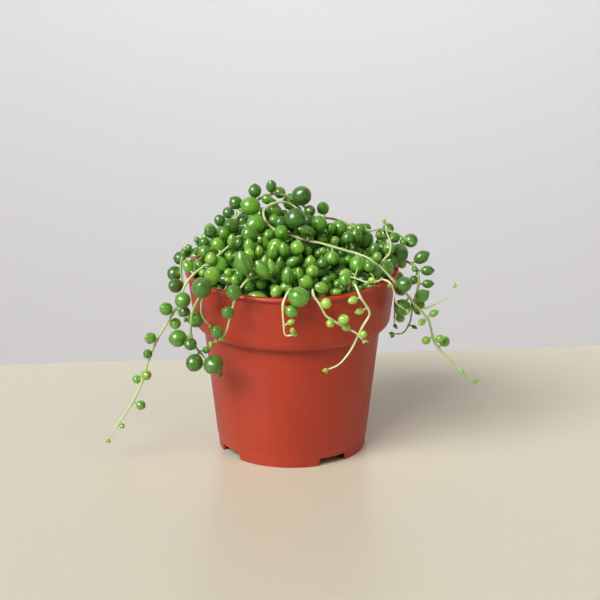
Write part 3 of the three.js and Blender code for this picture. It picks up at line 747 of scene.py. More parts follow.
def growPearls(strand, habit, shares):
    # at each place the largest pearl that fits, in the best of several drawn directions
    line = strand["line"]
    at = strand["start"] + 1
    while at < len(line) - 0.5:
        i = nearestWhole(at)
        at += habit["spacing"]
        foot = line[min(i, len(line) - 1)]
        along = unit(add(line[min(i + 1, len(line) - 1)], line[i - 1], -1))
        sky = unit([foot[0], foot[1], pearl["skyHeight"]]) if habit["outward"] else [0, 0, 1]
        wanted = drawBetween(*habit["sizes"])
        slim = pearl["slim"] if draw() < pearl["slimShare"] else 1
        draws = []
        for _ in range(habit["tries"]):
            v = [drawBetween(-1, 1), drawBetween(-1, 1), drawBetween(-1, 1)]
            lean = unit(add(v, along, -dot(v, along) * pearl["sideways"]))
            facing = 0.5 - abs(dot(lean, sky) - 0.5) if habit["outward"] else dot(lean, sky)
            draws.append((facing, lean, drawBetween(*habit["stalks"])))
        draws = [d for d in sorted(draws, key=lambda d: -d[0]) if d[0] >= habit["up"]]
        if not draws:
            continue
        near = neighboursOf(foot, crowding, strand["index"])
        for share in shares:
            size = wanted * share
            if size < pearl["least"]:
                break
            found = fitPearl(strand, foot, [d[1] for d in draws], size, [d[2] for d in draws], near)
            if found:
                keepPearl(strand, found, slim)
                break


for laid in handLaid:
    layByHand(laid)
for index, (degrees, drop) in enumerate(backTrails):
    layBackTrail(index, degrees, drop)
for strand, laid in zip(strands, handLaid):
    placeListed(strand, strand["line"], strand["start"], laid.get("pearls", ()), laid.get("slim", ()))
    for shoot, grown in zip(laid.get("shoots", ()), strand["shoots"]):
        placeListed(strand, grown["line"], 0, shoot["pearls"], ())
for coil in coils:
    layCoil(*coil)
for strand in strands:
    if strand["grow"]:
        growPearls(strand, strand["grow"], pearl["shares"])
print("as in the frame:", len(strands), "stems,", sum(len(s["pearls"]) for s in strands), "pearls")

# Leaves that only the looks hold. First those that show one by one from the front, the nearest last:
# place in the picture in pixels, length, width, tilt of the tip in degrees clockwise from upright,
# and how young. Each lies as deep as it can with its middle in sight; the first few lie over the
# listed stems too, the others leave them in sight.
leavesOverStems = [
    (295.5, 219, 10.4, 10.4, 0, 0.08), (308, 221, 6.4, 6.4, 0, 0.05),
    (306.5, 231, 8.5, 5.2, -75, 0.12), (319.2, 223.9, 8.2, 8.2, 0, 0.35),
]
leavesInSight = [
    (281, 223, 7, 7, 0, 0.1), (249, 234, 8, 8, 0, 0.25), (252, 238, 6, 6, 0, 0.1),
    (239, 243, 5, 5, 0, 0.05), (224, 233, 6, 6, 0, 0.3), (204, 242, 5, 5, 0, 0.2),
    (205, 252, 6.5, 6.5, 0, 0.3), (211, 259, 6, 6, 0, 0.65), (199, 265, 5, 5, 0, 0.3),
    (203, 273, 4.2, 4.2, 0, 0.55), (322.5, 240, 6, 6, 0, 0.35), (331, 228, 6, 6, 0, 0.4),
    (340, 228, 7.5, 7.5, 0, 0.35), (348, 238, 6.5, 6.5, 0, 0.2), (335, 241, 4.8, 4.8, 0, 0.7),
    (356.5, 237, 8, 6.3, -10, 0.2), (360, 229, 5.5, 5.5, 0, 0.3), (379, 235, 4.8, 3.9, 0, 0.65),
    (342, 252, 5.5, 5.5, 0, 0.15), (353.5, 249.5, 5.8, 4.6, 30, 0.2), (367, 254, 5, 5, 0, 0.3),
    (374, 250, 7, 6, 10, 0.3), (385.5, 250, 5.6, 3.2, -10, 0.45), (360.5, 250, 4.4, 2.4, -15, 0.75),
    (382, 250, 8.4, 7.2, 20, 0.12), (381, 243, 6, 6, 0, 0.15), (391, 262, 7, 7, 0, 0.1),
    (386, 269, 8.6, 7.8, 0, 0.4), (369, 267, 5.5, 5.5, 0, 0.3), (345, 280, 6.4, 6.4, 0, 0.45),
    (354, 284, 5.2, 5.2, 0, 0.6), (369, 287, 5.4, 3.5, 70, 0.55), (280, 265, 7.6, 4.5, 0, 0.15),
    (322.5, 263, 5.5, 5.5, 0, 0.2), (326, 280, 6.5, 5, 60, 0.1), (322.5, 251, 3.6, 3.6, 0, 0.6),
    (308, 252, 5.4, 4.6, 10, 0.35), (332, 258.5, 7, 7, 0, 0.5), (276, 292, 6.4, 5.4, 20, 0.6),
    (235, 280, 5.2, 5.2, 0, 0.45), (227.5, 281, 4, 4, 0, 0.75), (230, 257, 4.8, 4, 0, 0.5),
    (249, 254, 5.5, 5.5, 0, 0.7), (249, 246.5, 7.4, 5.6, -5, 0.5), (259, 252, 6, 4.4, 0, 0.6),
    (265.5, 243.5, 6.5, 4.2, -25, 0.5), (273, 252, 7.4, 4.6, 5, 0.55), (284, 250, 7, 5.8, -10, 0.4),
    (297, 248, 7.4, 6.8, 20, 0.6), (292, 262, 7.5, 4.8, 60, 0.3), (310.5, 262, 5.8, 5.8, 0, 0.55),
    (312.5, 271.5, 6.4, 6.4, 0, 0.62), (299, 274, 5.8, 3.8, -10, 0.55), (271.5, 266, 6.8, 3.6, -15, 0.6),
    (263.5, 270, 11, 7.5, -40, 0.35), (287.5, 276, 8.6, 6.8, 3, 0.3), (305.5, 282, 7.6, 7.2, -60, 0.6),
    (286, 287.5, 6.6, 6.6, 0, 0.6), (321.5, 288, 7.5, 6.8, -70, 0.55), (335, 292, 8, 4.6, 80, 0.5),
    (244, 263.5, 12, 8.8, -20, 0.3), (232, 241.5, 7.2, 5, 0, 0.5),
]
sight = {
    "depths": (880, 1100, 0.4),  # from the camera, and the step between tries
    "within": 50,  # distance from the pot's axis
    "bite": 0.5,  # how far a leaf may press into what it lies on
    "stemBite": 0.2,  # and into a listed stem
    "potShare": 0.55,  # room that it keeps from the pot and the mix, as a share of its radius
    "pile": 7,  # how far in front of the frame's own pearls it may lie
    "shares": (1, 0.88, 0.76, 0.65),  # sizes that are tried
    "endShare": 0.42,  # radius of the sphere that fills either end of a long leaf, against its width
    "forward": 0.5,  # how much each tip looks at the camera
    "coilFirst": 5,  # a listed stem has to be this much nearer than a coiled one to bear the leaf
}


def footCost(strand, base):
    # how far a stalk has to reach; one from a coiled stem stays out of sight
    away = min(distance(p, base) for p in strand["line"][strand["start"] :])
    return away + (0 if strand["coiled"] else sight["coilFirst"])


def layInSight(leaf, overStems):
    u, v, length, width, tilt, tone = leaf
    pitch, tilt = math.radians(camera["pitch"]), math.radians(tilt)
    up = np.array([0, math.sin(pitch), math.cos(pitch)])
    onward = np.array([0, math.cos(pitch), -math.sin(pitch)])
    middle = camera["imagePixels"] / 2
    ray = onward + up * (middle - v) / camera["focalPixels"]
    ray[0] = (u - middle) / camera["focalPixels"]
    path = np.array(camera["place"]) + ray * np.arange(*sight["depths"])[:, None]
    n = taken["count"]
    handLaidStem = taken["stem"][:n] & (taken["owner"][:n] < len(handLaid))
    solid = np.ones(n, bool) if overStems else ~handLaidStem

    def clearance(points, rows):
        away = np.linalg.norm(points[:, None] - taken["at"][:n][rows], axis=2)
        return (away - taken["radius"][:n][rows]).min(axis=1)

    for share in sight["shares"]:
        r = (length + width) / 4 * share
        inside = (np.hypot(path[:, 0], path[:, 1]) < sight["within"]) & (path[:, 2] > soil["edgeTop"])
        places = path[inside & (potRoom(path) > sight["potShare"] * r)]
        if not len(places):
            continue
        clear = clearance(places, solid)
        met = clearance(places, solid & (np.arange(n) < grownInFrame)) < r - sight["bite"]
        if not met.any():
            continue
        fits = (clear > r - sight["bite"]) & (np.cumsum(clear < 0) == 0)
        fits[: max(0, int(np.argmax(met) - sight["pile"] / sight["depths"][2]))] = False
        if not fits.any():
            continue
        centre = places[np.nonzero(fits)[0][-1]]
        if not overStems and clearance(centre[None], handLaidStem)[0] < r - sight["stemBite"]:
            continue
        lean = up * math.cos(tilt) - onward * sight["forward"]
        lean[0] = math.sin(tilt)
        lean = unit(lean.tolist())
        base = (centre - np.array(lean) * length * share / 2).tolist()
        owner = min(strands, key=lambda s: footCost(s, base))
        foot = min(owner["line"][owner["start"] :], key=lambda p: distance(p, base))
        end = np.array(lean) * (length - width) * share / 2
        endRadius = sight["endShare"] * width * share
        found = {
            "from": foot,
            "lean": lean,
            "size": length * share,
            "centre": centre.tolist(),
            "spheres": [(centre, width * share / 2), (centre + end, endRadius), (centre - end, endRadius)],
        }
        keepPearl(owner, found, width / length)
        found["tone"] = tone
        keepInSight(centre, r)
        return True
    return False


grownInFrame = taken["count"]
for strand in strands[: len(handLaid)]:
    for grown in strand["pearls"]:
        keepInSight(grown["centre"], grown["size"] / 2)
laidInSight = [layInSight(leaf, True) for leaf in leavesOverStems]
laidInSight += [layInSight(leaf, False) for leaf in reversed(leavesInSight)]
print("leaves laid one by one:", sum(laidInSight), "of", len(laidInSight))

# Then pearls that close the canopy in the room that is left.
canopyShares = (1, 0.85, 0.7)
canopy = [
    {"spacing": 2.7, "up": -0.2, "sizes": (6.5, 9.0), "stalks": (0.6, 4.0), "tries": 26, "outward": False},
    {"spacing": 2.3, "up": -0.5, "sizes": (4.4, 6.8), "stalks": (0.6, 4.6), "tries": 26, "outward": False},
]
# Then the largest that fits wherever the canopy is still open, on a stalk from the nearest stem:
# all over, and again in the front, where the leaves are lemon-shaped and pack closer.
filling = {
    "around": 10,  # the canopy's height is taken from the pearls this near
    "least": 99,  # and is at least this
    "under": 1.5,  # and the leaves end this far below it
    "within": 50,  # distance from the pot's axis
    "stalks": (0.2, 8.5),
    "slim": 0.66,  # a lemon-shaped leaf's width against its length
    "slimRoom": 0.84,  # and how much of a round one's room it takes
    "gap": 0.03,
    "seed": 41,
}
# middle of each area, reach, leaf sizes, places tried for each size, gap and share of lemon shapes
frontFilling = ((-9, -27), 25, (10.4, 9.4, 8.4, 7.4), 3600, -1.1, 0.85)
otherFillings = [
    ((0, 0), 49, (9.2, 7.8, 6.6, 5.4, 4.2), 4800, 0.03, 0.3),
    ((30, -22), 20, (8.6, 7.2, 6), 1800, -0.5, 0.5),
    ((43, -4), 17, (9.8, 8.8, 7.6), 2400, -0.6, 0.2),
]
fillingDraws = np.random.default_rng(filling["seed"])


def fillCanopy(middle, reach, sizes, places, gap, slimShare):
    coiled = [s for s in strands if s["coiled"]]
    feet = np.array([p for s in coiled for p in s["line"][s["start"] :]])
    owners = [s for s in coiled for _ in s["line"][s["start"] :]]
    centres = np.array([p["centre"] for s in coiled for p in s["pearls"]])
    tops = centres[:, 2] + np.array([p["size"] / 2 for s in coiled for p in s["pearls"]])
    pearl["gap"] = pearl["ownGap"] = gap
    for size in sizes:
        r = size / 2
        radius = reach * np.sqrt(fillingDraws.random(places))
        turn = 2 * np.pi * fillingDraws.random(places)
        height = fillingDraws.random(places)
        slim = fillingDraws.random(places) < slimShare
        x = middle[0] + radius * np.cos(turn)
        y = middle[1] + radius * np.sin(turn)
        flat = np.hypot(x[:, None] - centres[None, :, 0], y[:, None] - centres[None, :, 1])
        crown = np.where(flat < filling["around"], tops, filling["least"]).max(axis=1) - filling["under"]
        ground = soilTop(x, y)
        tried = np.stack([x, y, ground + r + height * np.maximum(crown - ground - size, 0)], axis=1)
        for k in np.nonzero((potRoom(tried) > r) & (np.hypot(x, y) < filling["within"]))[0]:
            c = tried[k]
            n = taken["count"]
            if np.min(np.linalg.norm(taken["at"][:n] - c, axis=1) - taken["radius"][:n]) < r + gap:
                continue
            away = np.linalg.norm(feet - c, axis=1)
            f = int(np.argmin(away))
            stalk = away[f] - stem["coilRadius"] * stem["stalkFoot"] - r
            if not filling["stalks"][0] < stalk < filling["stalks"][1]:
                continue
            lean = ((c - feet[f]) / away[f]).tolist()
            near = neighboursOf(feet[f], crowding, owners[f]["index"])
            found = fitPearl(owners[f], feet[f].tolist(), [lean], size, [stalk], near)
            if found and slim[k]:
                found["spheres"] = [(at, wide * filling["slimRoom"]) for at, wide in found["spheres"]]
            if found:
                keepPearl(owners[f], found, filling["slim"] if slim[k] else 1)


fillCanopy(*frontFilling)
pearl["gap"] = pearl["ownGap"] = filling["gap"]
for habit in canopy:
    for strand in strands:
        if strand["coiled"]:
            growPearls(strand, habit, canopyShares)
for area in otherFillings:
    fillCanopy(*area)
print("with the canopy closed:", sum(len(s["pearls"]) for s in strands), "pearls")

# Stems and pearls: each stem's skeleton, which one node tree turns into skin.
skin = {
    "spinePoint": 1.2,  # spacing of a stem's points
    "trailThick": 0.6,
    "coilThick": 0.52,
    "shootShare": 0.8,  # a side shoot's thickness against its stem's
    "uneven": (0.94, 1.06),
    "tipLength": 24,  # over this length a stem thins
    "tipShare": 0.55,
    "tipEnd": 0.35,  # and its last point is this much thinner again
    "nodeSwell": 0.17,  # how much thicker a stem is where a pearl leaves it
    "nodeLength": 1.0,
    "stalkThick": 0.3,
    "stalkShare": 0.018,  # and this much more for each millimetre of pearl
    "stalkTaper": (1.15, 0.95, 1.3),  # at the stem, halfway and at the pearl
    "stalkBow": (-0.12, 0.12),
    "pearlWidth": (0.97, 1.03),  # share of its length
    "pearlDepth": (0.94, 1.04),  # share of its width
    "turnSpread": 0.8,  # radians that a pearl's window turns off the sky
    "steep": 0.93,  # and where it points more upright than this, off the front
    "buds": 3,  # new leaves at a trailing stem's tip
    "budSize": (1.5, 2.6),
    "budAside": 0.75,
    "budUnder": 3.4,  # a smaller leaf has a bud's shape
    "budWidth": 0.78,
    "dropSizes": (5, 7.6),  # of the pearls between these sizes this share has a long tip
    "dropShare": 0.2,
    "stemSides": 7,
    "pearlSegments": 12,
    "pearlRings": 7,
    "ringCrowding": 1.22,  # how much a pearl's rings crowd towards its tip
}
# Brown, dried spots on the stems: place, how far each reaches, how brown.
driedSpots = [
    ((7, -12, 109), 3.8, 1.0),
    ((21, 16.5, 111.5), 7.0, 0.8),
    ((45, 12, 107), 4.0, 0.6),
    ((-42, -17, 99), 1.8, 0.8),
    ((45, -8, 118), 2.2, 0.8),
    ((-11.5, -4, 116), 2.4, 0.9),
    ((7, 20, 108), 5.0, 0.7),
    ((62, -8, 84), 9.0, 0.35),
    ((54, -12, 62), 7.0, 0.6),
    ((68, -17, 64), 11.0, 0.4),
    ((-38, -40, 54), 6.0, 0.5),
    ((-37, -47, 69), 3.0, 0.5),
]
# How young a pearl looks, from old and dark at 0 to new and yellow-green at 1, with painted shade
# that darkens it too: what changes it, then what the pearls of each stem start from.
age = {
    "usual": 0.42,  # of a stem that isn't listed
    "spread": 0.12,
    "perSize": 0.035,  # younger for each millimetre smaller than the usual size
    "usualSize": 6.5,
    "lemon": 0.1,  # younger where it is lemon-shaped
    "shadePerDepth": 0.028,  # darker for each millimetre that a coiled stem's pearl lies deeper: painted shade
    "depthReach": 7,
    "shadePerSide": 0.006,  # and for each millimetre further right, away from the key light: painted shade
    "bud": 0.25,  # younger than the stem's pearls
    "stem": 0.3,
    "coiledStem": 0.15,  # whatever its pearls
}
youth = {
    "left_trail": 0.36,
    "left_cluster": 0.18,
    "front_left_loop": 0.42,
    "front_short": 0.62,
    "front_mid": 0.76,
    "front_right_bare": 0.8,
    "long_diagonal": 0.38,
    "upright_tip": 0.6,
    "right_runner": 0.8,
    "crest": 0.2,
    "right_drape": 0.15,
    "back_right_arc": 0.2,
    "left_arc": 0.6,
    "left_shoulder": 0.3,
    # back_trail_6 hangs behind the pot: its low value is painted shade that darkens its stem and pearls
    "back_trail_6": 0.1,
}
# The same for single pearls, by their place in the stem's list above.
pearlTones = {
    "left_trail": {0: 0.5, 1: 0.55, 2: 0.5, 3: 0.6, 4: 0.5, 5: 0.35, 6: 0.2},
    "left_cluster": {0: 0.6, 1: 0.15, 2: 0.15, 3: 0.3, 4: 0.15, 6: 0.1, 7: 0.15},
    "front_left_loop": {2: 0.2, 3: 0.2, 4: 0.2},
    "front_short": {0: 0.38, 1: 0.45},
    "long_diagonal": {
        0: 0.28, 1: 0.45, 2: 0.45, 3: 0.5, 4: 0.45, 5: 0.55, 6: 0.5, 7: 0.5, 8: 0.5, 9: 0.2, 10: 0.15,
    },
    "crest": {0: 0.2, 1: 0.08, 2: 0.35, 3: 0.3, 5: 0.35, 6: 0.15, 7: 0.12, 8: 0.12, 9: 0.12, 10: 0.1},
    "right_drape": {0: 0.08, 1: 0.12, 3: 0.12},
    "back_right_arc": {0: 0.05, 1: 0.1, 2: 0.35, 3: 0.35, 4: 0.15, 5: 0.3, 9: 0.2},
}
chance = random.Random(11)


def dryness(p):
    brown = 0
    for place, reach, amount in driedSpots:
        brown = max(brown, amount * math.exp(-((distance(p, place) / reach) ** 2) * 2))
    return brown


crownPoints = np.array([p["centre"] for s in strands for p in s["pearls"]])


def depthAt(p):
    # how far below the highest of the pearls round about
    flat = np.hypot(crownPoints[:, 0] - p[0], crownPoints[:, 1] - p[1])
    return float(crownPoints[flat < age["depthReach"], 2].max()) - p[2]


def pearlFacing(lean):
    # local Z is the pearl's tip and local X its window, which looks about upwards
    z = Vector(lean)
    up = Vector((0, 0, 1)) if abs(z.z) < skin["steep"] else Vector((0, -1, 0))
    x = (up - z * up.dot(z)).normalized()
    turn = Matrix.Rotation(chance.gauss(0, skin["turnSpread"]), 3, "Z")
    return (Matrix((x, z.cross(x), z)).transposed() @ turn).to_euler()


# Each shape of pearl on a unit sphere: how far its tip and its base stand out, how wide that
# reaches in radians from the pole, and how much it draws the flank in.
pearlShapes = {
    "Round": {"tip": 0.13, "tipReach": 0.34, "pinch": 0.38, "base": 0.05},
    "Drop": {"tip": 0.27, "tipReach": 0.5, "pinch": 0.36, "base": 0.07},
    "Bud": {"tip": 0.42, "tipReach": 0.8, "pinch": 0.42, "base": 0.1},
    "Lemon": {"tip": 0.17, "tipReach": 0.5, "pinch": 0.26, "base": 0.07},
}
shapeOrder = {name: i for i, name in enumerate(pearlShapes)}


def shapeOf(size, slim):
    drop = skin["dropSizes"][0] < size < skin["dropSizes"][1] and chance.random() < skin["dropShare"]
    if size < skin["budUnder"]:
        return "Bud", skin["budWidth"]
    if slim < 1:
        return "Lemon", slim
    return ("Drop" if drop else "Round"), 1


def strandSkeleton(strand):
    points, edges = [], []
    values = {"thick": [], "dry": [], "tone": [], "shape": [], "site": [], "swell": [], "facing": []}
    young = youth.get(strand["name"], age["usual"])

    def addPoint(p, thick=0.0, tone=0.5, shape=0, site=False, swell=(0, 0, 0), facing=(0, 0, 0)):
        points.append(p)
        given = (thick * mm, dryness(p), tone, shape, site, swell, facing)
        for key, value in zip(values, given):
            values[key].append(value)

    def addChain(line, thicks, tone):
        first = len(points)
        for p, thick in zip(line, thicks):
            addPoint(p, thick, tone)
        edges.extend((i, i + 1) for i in range(first, len(points) - 1))

    def addPearlSite(centre, lean, size, slim, tone):
        shape, narrow = shapeOf(size, slim)
        wide = size / 2 * narrow * chance.uniform(*skin["pearlWidth"])
        swell = (wide * mm, wide * chance.uniform(*skin["pearlDepth"]) * mm, size / 2 * mm)
        addPoint(centre, 0, tone, shapeOrder[shape], True, swell, pearlFacing(lean))

    thickest = skin["coilThick" if strand["coiled"] else "trailThick"]
    branches = [strand["corners"]] + [shoot["corners"] for shoot in strand["shoots"]]
    lines = [smoothLine(corners, 8, skin["spinePoint"]) for corners in branches]
    thicks = []
    for n, line in enumerate(lines):
        base = thickest * (skin["shootShare"] if n else 1)
        toTip = [(len(line) - 1 - i) * skin["spinePoint"] for i in range(len(line))]
        share = [min(1, skin["tipShare"] + (1 - skin["tipShare"]) * d / skin["tipLength"]) for d in toTip]
        thicks.append([base * s * chance.uniform(*skin["uneven"]) for s in share])
        thicks[n][-1] *= skin["tipEnd"]
    tones = pearlTones.get(strand["name"], {})
    for order, grown in enumerate(strand["pearls"]):
        feet = [nearest(line, grown["from"]) for line in lines]
        n = min(range(len(lines)), key=lambda i: distance(lines[i][feet[i]], grown["from"]))
        k = feet[n]
        for i in range(max(0, k - 1), min(len(lines[n]), k + 2)):
            away = distance(lines[n][i], lines[n][k]) / skin["nodeLength"]
            thicks[n][i] += skin["nodeSwell"] * math.exp(-away * away)
        size = grown["size"]
        lean = grown["lean"]
        r = size / 2
        tone = young + age["perSize"] * (age["usualSize"] - size) + chance.gauss(0, age["spread"])
        tone += age["lemon"] if grown["slim"] < 1 else 0
        # painted shade on a coiled stem's pearls: darker deeper in the canopy and further from the key light
        if strand["coiled"]:
            tone -= age["shadePerDepth"] * (depthAt(grown["centre"]) - r) + age["shadePerSide"] * grown["centre"][0]
        tone = min(1, max(0, grown.get("tone", tones.get(order, tone))))
        start = lines[n][k]
        end = add(grown["centre"], lean, -r * 0.94)
        bow = [chance.uniform(*skin["stalkBow"]) * distance(start, end) for _ in range(3)]
        middle = add([(a + b) / 2 for a, b in zip(start, end)], bow)
        thick = skin["stalkThick"] + skin["stalkShare"] * size
        addChain([start, middle, end], [thick * share for share in skin["stalkTaper"]], tone)
        addPearlSite(grown["centre"], lean, size, grown["slim"], tone)
    for line, thick in zip(lines, thicks):
        if strand["coiled"]:
            addChain(line, thick, age["coiledStem"])
            continue
        addChain(line, thick, min(1, young + age["stem"]))
        onward = unit(add(line[-1], line[-3], -1))
        for _ in range(skin["buds"]):
            aside = [chance.uniform(-1, 1) for _ in range(3)]
            lean = unit(add(onward, aside, skin["budAside"]))
            size = chance.uniform(*skin["budSize"])
            centre = add(line[-1], lean, size * 0.55)
            addPearlSite(centre, lean, size, 1, min(1, young + age["bud"]))
    return points, edges, values


pointKinds = {"shape": "INT", "site": "BOOLEAN", "swell": "FLOAT_VECTOR", "facing": "FLOAT_VECTOR"}


def skeletonObject(name, points, edges, values):
    obj = meshObject(name, points, edges, [])
    for key, column in values.items():
        kind = pointKinds.get(key, "FLOAT")
        attribute = obj.data.attributes.new(key, kind, "POINT")
        flat = [c for v in column for c in v] if kind == "FLOAT_VECTOR" else column
        attribute.data.foreach_set("vector" if kind == "FLOAT_VECTOR" else "value", flat)
    return obj


# How a pearl's shape is worked out at each point of a unit sphere, step by step.
pearlSteps = [
    ("polar", "ARCCOSINE", "z"),
    ("share", "DIVIDE", "polar", math.pi),
    ("crowd", "POWER", "share", skin["ringCrowding"]),
    ("crowded", "MULTIPLY", "crowd", math.pi),
    ("newWidth", "SINE", "crowded"),
    ("oldWidth", "SINE", "polar"),
    ("someWidth", "MAXIMUM", "oldWidth", 0.001),
    ("wider", "DIVIDE", "newWidth", "someWidth"),
    ("tipAway", "DIVIDE", "crowded", "tipReach"),
    ("tipSquare", "MULTIPLY", "tipAway", "tipAway"),
    ("tipFall", "MULTIPLY", "tipSquare", -1.0),
    ("tipBell", "EXPONENT", "tipFall"),
    ("fromBase", "SUBTRACT", math.pi, "crowded"),
    ("baseAway", "DIVIDE", "fromBase", "tipReach"),
    ("baseSquare", "MULTIPLY", "baseAway", "baseAway"),
    ("baseFall", "MULTIPLY", "baseSquare", -1.0),
    ("baseBell", "EXPONENT", "baseFall"),
    ("pinched", "MULTIPLY", "tipBell", "pinch"),
    ("flank", "SUBTRACT", 1.0, "pinched"),
    ("drawn", "MULTIPLY", "wider", "flank"),
    ("level", "COSINE", "crowded"),
    ("tipOut", "MULTIPLY", "tipBell", "tip"),
    ("raised", "ADD", "level", "tipOut"),
    ("baseOut", "MULTIPLY", "baseBell", "base"),
    ("newZ", "SUBTRACT", "raised", "baseOut"),
    ("newX", "MULTIPLY", "x", "drawn"),
    ("newY", "MULTIPLY", "y", "drawn"),
]


def buildStrandTree():
    inputs = [("Stem sides", "Int"), ("Pearl segments", "Int"), ("Pearl rings", "Int")]
    inputs += [(f"{name} {part}", "Float") for name in pearlShapes for part in pearlShapes[name]]
    inputs += [("Pearl skin", "Material"), ("Stem skin", "Material")]
    tree, given = newTree("strandSkin", inputs)
    named = {}
    kinds = {"thick": "FLOAT", **pointKinds, "isStem": "BOOLEAN"}
    for name, kind in kinds.items():
        settings = {"data_type": kind, "Name": name}
        named[name] = addNode(tree, "GeometryNodeInputNamedAttribute", settings)

    # stems and stalks: a round section drawn along every edge, as thick as its points say
    curves = addNode(tree, "GeometryNodeMeshToCurve", links={"Mesh": given["Geometry"]})
    section = addNode(
        tree, "GeometryNodeCurvePrimitiveCircle", {"Radius": 1.0}, {"Resolution": given["Stem sides"]}
    )
    tubes = addNode(
        tree,
        "GeometryNodeCurveToMesh",
        {"Fill Caps": True},
        {"Curve": curves, "Profile Curve": section, "Scale": named["thick"]},
    )
    marked = addNode(
        tree,
        "GeometryNodeStoreNamedAttribute",
        {"data_type": "BOOLEAN", "domain": "POINT", "Name": "isStem", "Value": True},
        {"Geometry": tubes},
    )

    # one pearl of each shape, from a sphere whose rings crowd towards its tip
    choices = addNode(tree, "GeometryNodeJoinGeometry")
    for name in reversed(pearlShapes):
        sphere = addNode(
            tree,
            "GeometryNodeMeshUVSphere",
            {"Radius": 1.0},
            {"Segments": given["Pearl segments"], "Rings": given["Pearl rings"]},
        )
        place = addNode(tree, "ShaderNodeSeparateXYZ", links={0: addNode(tree, "GeometryNodeInputPosition")})
        values = dict(zip("xyz", place.outputs))
        for part in pearlShapes[name]:
            values[part] = given[f"{name} {part}"]
        for result, operation, *terms in pearlSteps:
            settings = {"operation": operation}
            settings.update((i, term) for i, term in enumerate(terms) if not isinstance(term, str))
            links = {i: values[term] for i, term in enumerate(terms) if isinstance(term, str)}
            values[result] = addNode(tree, "ShaderNodeMath", settings, links)
        shaped = addNode(
            tree,
            "ShaderNodeCombineXYZ",
            links={0: values["newX"], 1: values["newY"], 2: values["newZ"]},
        )
        moved = addNode(tree, "GeometryNodeSetPosition", links={"Geometry": sphere, "Position": shaped})
        placed = addNode(
            tree,
            "GeometryNodeStoreNamedAttribute",
            {"data_type": "FLOAT_VECTOR", "domain": "POINT", "Name": "pearlPlace"},
            {"Geometry": moved, "Value": addNode(tree, "GeometryNodeInputPosition")},
        )
        single = addNode(tree, "GeometryNodeGeometryToInstance", links={0: placed})
        tree.links.new(single.outputs[0], choices.inputs[0])
    pearls = addNode(
        tree,
        "GeometryNodeInstanceOnPoints",
        {"Pick Instance": True},
        {
            "Points": given["Geometry"],
            "Selection": named["site"],
            "Instance": choices,
            "Instance Index": named["shape"],
            "Rotation": named["facing"],
            "Scale": named["swell"],
        },
    )
    joined = addNode(tree, "GeometryNodeJoinGeometry")
    for part in (pearls, marked):
        tree.links.new(part.outputs[0], joined.inputs[0])
    whole = addNode(tree, "GeometryNodeRealizeInstances", links={"Geometry": joined})
    smooth = addNode(tree, "GeometryNodeSetShadeSmooth", {"Shade Smooth": True}, {"Geometry": whole})
    pearly = addNode(
        tree, "GeometryNodeSetMaterial", links={"Geometry": smooth, "Material": given["Pearl skin"]}
    )
    skinned = addNode(
        tree,
        "GeometryNodeSetMaterial",
        links={"Geometry": pearly, "Selection": named["isStem"], "Material": given["Stem skin"]},
    )
    addNode(tree, "NodeGroupOutput", links={0: skinned})
    return tree


def newMaterial(name):
    material = bpy.data.materials.new(name)
    material.use_nodes = True
    material.node_tree.nodes.clear()
    return material, material.node_tree


# Living succulent leaf with a smooth waxy cuticle: soft gloss, light that goes a little way in,
# a darker see-through window down one side, pale streaks from stalk to tip and a dusty bloom when old.
# Its pattern scales are repeats per pearl radius, which is 2 to 5 mm.
pearlLook = {
    "old": "#2b5f12",
    "grown": "#62a526",
    "new": "#a9d453",
    "window": "#234f18",
    "streak": "#9cc868",
    "bloom": "#719b54",
    "tip": "#b7a765",
    "stalkEnd": "#8fbf58",
    "stops": (0.05, 0.45, 0.95),  # where the first three stand between old and new
    "mottle": 0.22,  # how much the age varies over one pearl
    "mottleScale": 1.4,
    "streakScale": (10.0, 10.0, 0.6),  # fine across, drawn out from stalk to tip
    "bloomScale": 2.6,
    "grainScale": 9.0,
    "windowAcross": (0.1, 0.3),  # where it fades out, in radians from its middle
    "windowAlong": (0.55, 1.0),  # and as a share of the way to the tip or the stalk
    "windowDark": 0.42,
    "mostStreaks": (0.25, 0.5),  # on a bud, on a lemon-shaped leaf
    "mostBloom": 0.16,
    "bloomNew": 0.15,  # and this share of it on a new leaf
    "roughness": (0.42, 0.28),  # old, new
    "grainDepth": 0.0002,  # in metres
}


